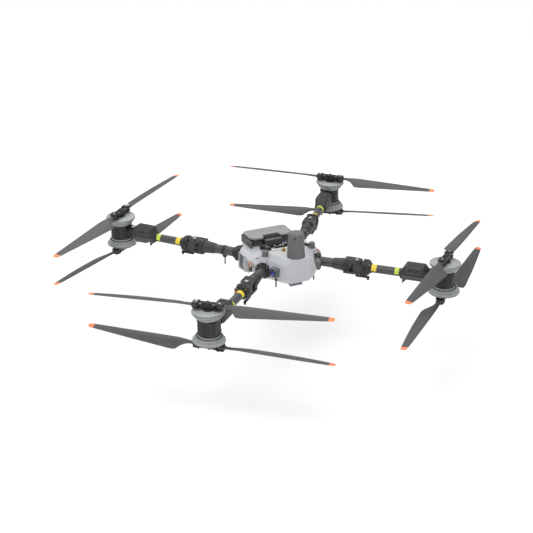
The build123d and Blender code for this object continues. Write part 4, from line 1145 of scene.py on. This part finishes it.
# Radius, leading edge, trailing edge, thickness and pitch along the blade.
SECTIONS = np.array([
    (92, 15, 15, 12.5, 0), (112, 16, 16, 12.5, 3), (148, 20, 24, 12, 12), (172, 23, 46, 11.5, 16),
    (192, 25, 74, 11, 18), (204, 25.5, 80, 10.6, 18), (236, 26, 82, 10, 17), (350, 24.5, 72, 8.6, 14.5),
    (470, 22, 62, 7.2, 12), (600, 19.5, 48, 5.6, 9.8), (720, 17, 34, 4, 8), (770, 14.5, 27, 3, 7.3),
    (783, 11, 23, 2.4, 7), (787.2, 5, 15, 1.4, 7),
])
radii = np.r_[np.linspace(92, 204, 19), np.linspace(215, 770, 30), 777, 783, 786, 787.2]
lead, trail, thick, pitch = (np.interp(radii, SECTIONS[:, 0], SECTIONS[:, k]) for k in (1, 2, 3, 4))
# The thickness is the usual four-figure airfoil polynomial, and the camber half a sine wave.
chordwise = (1 - np.cos(np.linspace(0, math.pi, 15))) / 2
swell = 2.6 * (0.2969 * np.sqrt(chordwise) - 0.126 * chordwise - 0.3516 * chordwise**2
               + 0.2843 * chordwise**3 - 0.1036 * chordwise**4) / 0.52
camber = 0.28 * np.sin(math.pi * chordwise)
across = np.r_[chordwise, chordwise[-2:0:-1]]
height_share = np.r_[swell + camber, (camber - swell)[-2:0:-1]]


def blade_shape(corner, level, half_turn):
    """An airfoil carried along the blade: x runs out, y to the leading edge, z up the axis.
    Each section is scaled by its chord and thickness and turned by its pitch."""
    axis = np.array(joints[f"rotor_spin_{corner}_{level}"]["axis"])
    base = rotor_place(corner, level, PROP_LIFT)
    out = base[:3, 0] * half_turn
    centre_point = joint_point(f"rotor_spin_{corner}_{level}")
    sense = np.sign(centre_point[0] * centre_point[1]) * LEVELS[level]
    forward = np.cross(axis, out) * sense
    chord = (lead + trail)[:, None]
    along_chord = lead[:, None] - chord * across[None]
    lift = thick[:, None] * height_share[None]
    angle = np.radians(pitch)[:, None]
    rise = TIP_RISE[level] * (radii - BLADE_PIVOT) / (PROP_RADIUS - BLADE_PIVOT)
    y = along_chord * np.cos(angle) - lift * np.sin(angle)
    z = along_chord * np.sin(angle) + lift * np.cos(angle) + rise[:, None]
    x = radii[:, None] + 0 * y
    local = x[..., None] * out + y[..., None] * forward + z[..., None] * axis + base[:3, 3]
    root = place(base[:3, 3] + out * BLADE_PIVOT, out, axis)
    washer = lathe([(5.4, -7.3), (23, -7.3), (24, -6.3), (24, 6.3), (23, 7.3), (5.4, 7.3)], 48)
    neck = carried(moved(root, 19, 0, -7.0), block(34, 31, 14, 8, 2))
    return joined([closed_grid(local), carried(root, washer), neck]), base[:3, 3]


for corner in CORNERS:
    for level in LEVELS:
        for letter, half_turn in (("a", 1), ("b", -1)):
            name = f"blade_{corner}_{level}_{letter}"
            shape, hub_point = blade_shape(corner, level, half_turn)
            painted = (
                tip_paint,
                lambda middles, hub=hub_point: np.linalg.norm(middles - hub, axis=1) > TIP_START,
            )
            blade = finished(
                f"prop_{corner}_{level}_{letter}", shape, name, blade_nylon, "blade_composite", extra=painted,
            )
            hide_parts(name)

# ---------------------------------------------------------------- floor and light
# A plain pale floor well below the aircraft, a white surround and two large soft lamps.
FLOOR_DROP = 0.62
FLOOR_REACH = 150.0
floor_mesh = bpy.data.meshes.new("floor")
floor_corners = [
    (x * FLOOR_REACH, y * FLOOR_REACH, -FLOOR_DROP)
    for x, y in ((-1, -1), (1, -1), (1, 1), (-1, 1))
]
floor_mesh.from_pydata(floor_corners, [], [(0, 1, 2, 3)])
floor_paint, tree, shader, where = new_finish("pale floor paint")
shader.inputs["Base Color"].default_value = linear("#FCFCFC")
shader.inputs["Roughness"].default_value = 1.0
shader.inputs["Specular IOR Level"].default_value = 0.0
floor_mesh.materials.append(floor_paint)
floor = bpy.data.objects.new("floor", floor_mesh)
bpy.context.scene.collection.objects.link(floor)

# The surround is a soft box: dim at the horizon and bright overhead.
HORIZON_GLOW = 0.14
OVERHEAD_GLOW = 1.45
world = bpy.data.worlds.new("studio")
bpy.context.scene.world = world
world.use_nodes = True
sky = world.node_tree
direction = add_node(sky, "ShaderNodeTexCoord").outputs["Generated"]
height = add_node(sky, "ShaderNodeSeparateXYZ", {"Vector": direction}).outputs["Z"]
glow = add_node(
    sky, "ShaderNodeMapRange",
    {"Value": height, "From Min": 0.0, "From Max": 1.0, "To Min": HORIZON_GLOW, "To Max": OVERHEAD_GLOW},
)
sky.links.new(glow.outputs["Result"], sky.nodes["Background"].inputs["Strength"])
sky.nodes["Background"].inputs["Color"].default_value = (1, 1, 1, 1)


def lamp_at(name, position, size, power):
    """A square soft lamp that points at the middle of the aircraft."""
    data = bpy.data.lights.new(name, "AREA")
    data.size = size
    data.energy = power
    lamp_object = bpy.data.objects.new(name, data)
    aim_point = Vector((0, 0, 0.1))
    lamp_object.location = position
    lamp_object.rotation_euler = (aim_point - Vector(position)).to_track_quat("-Z", "Y").to_euler()
    bpy.context.scene.collection.objects.link(lamp_object)


lamp_at("key", (-2.6, -2.4, 5.2), 2.6, 90)
lamp_at("rim", (1.5, 4.2, 4.2), 3.0, 50)
bpy.context.scene.view_settings.view_transform = "Standard"
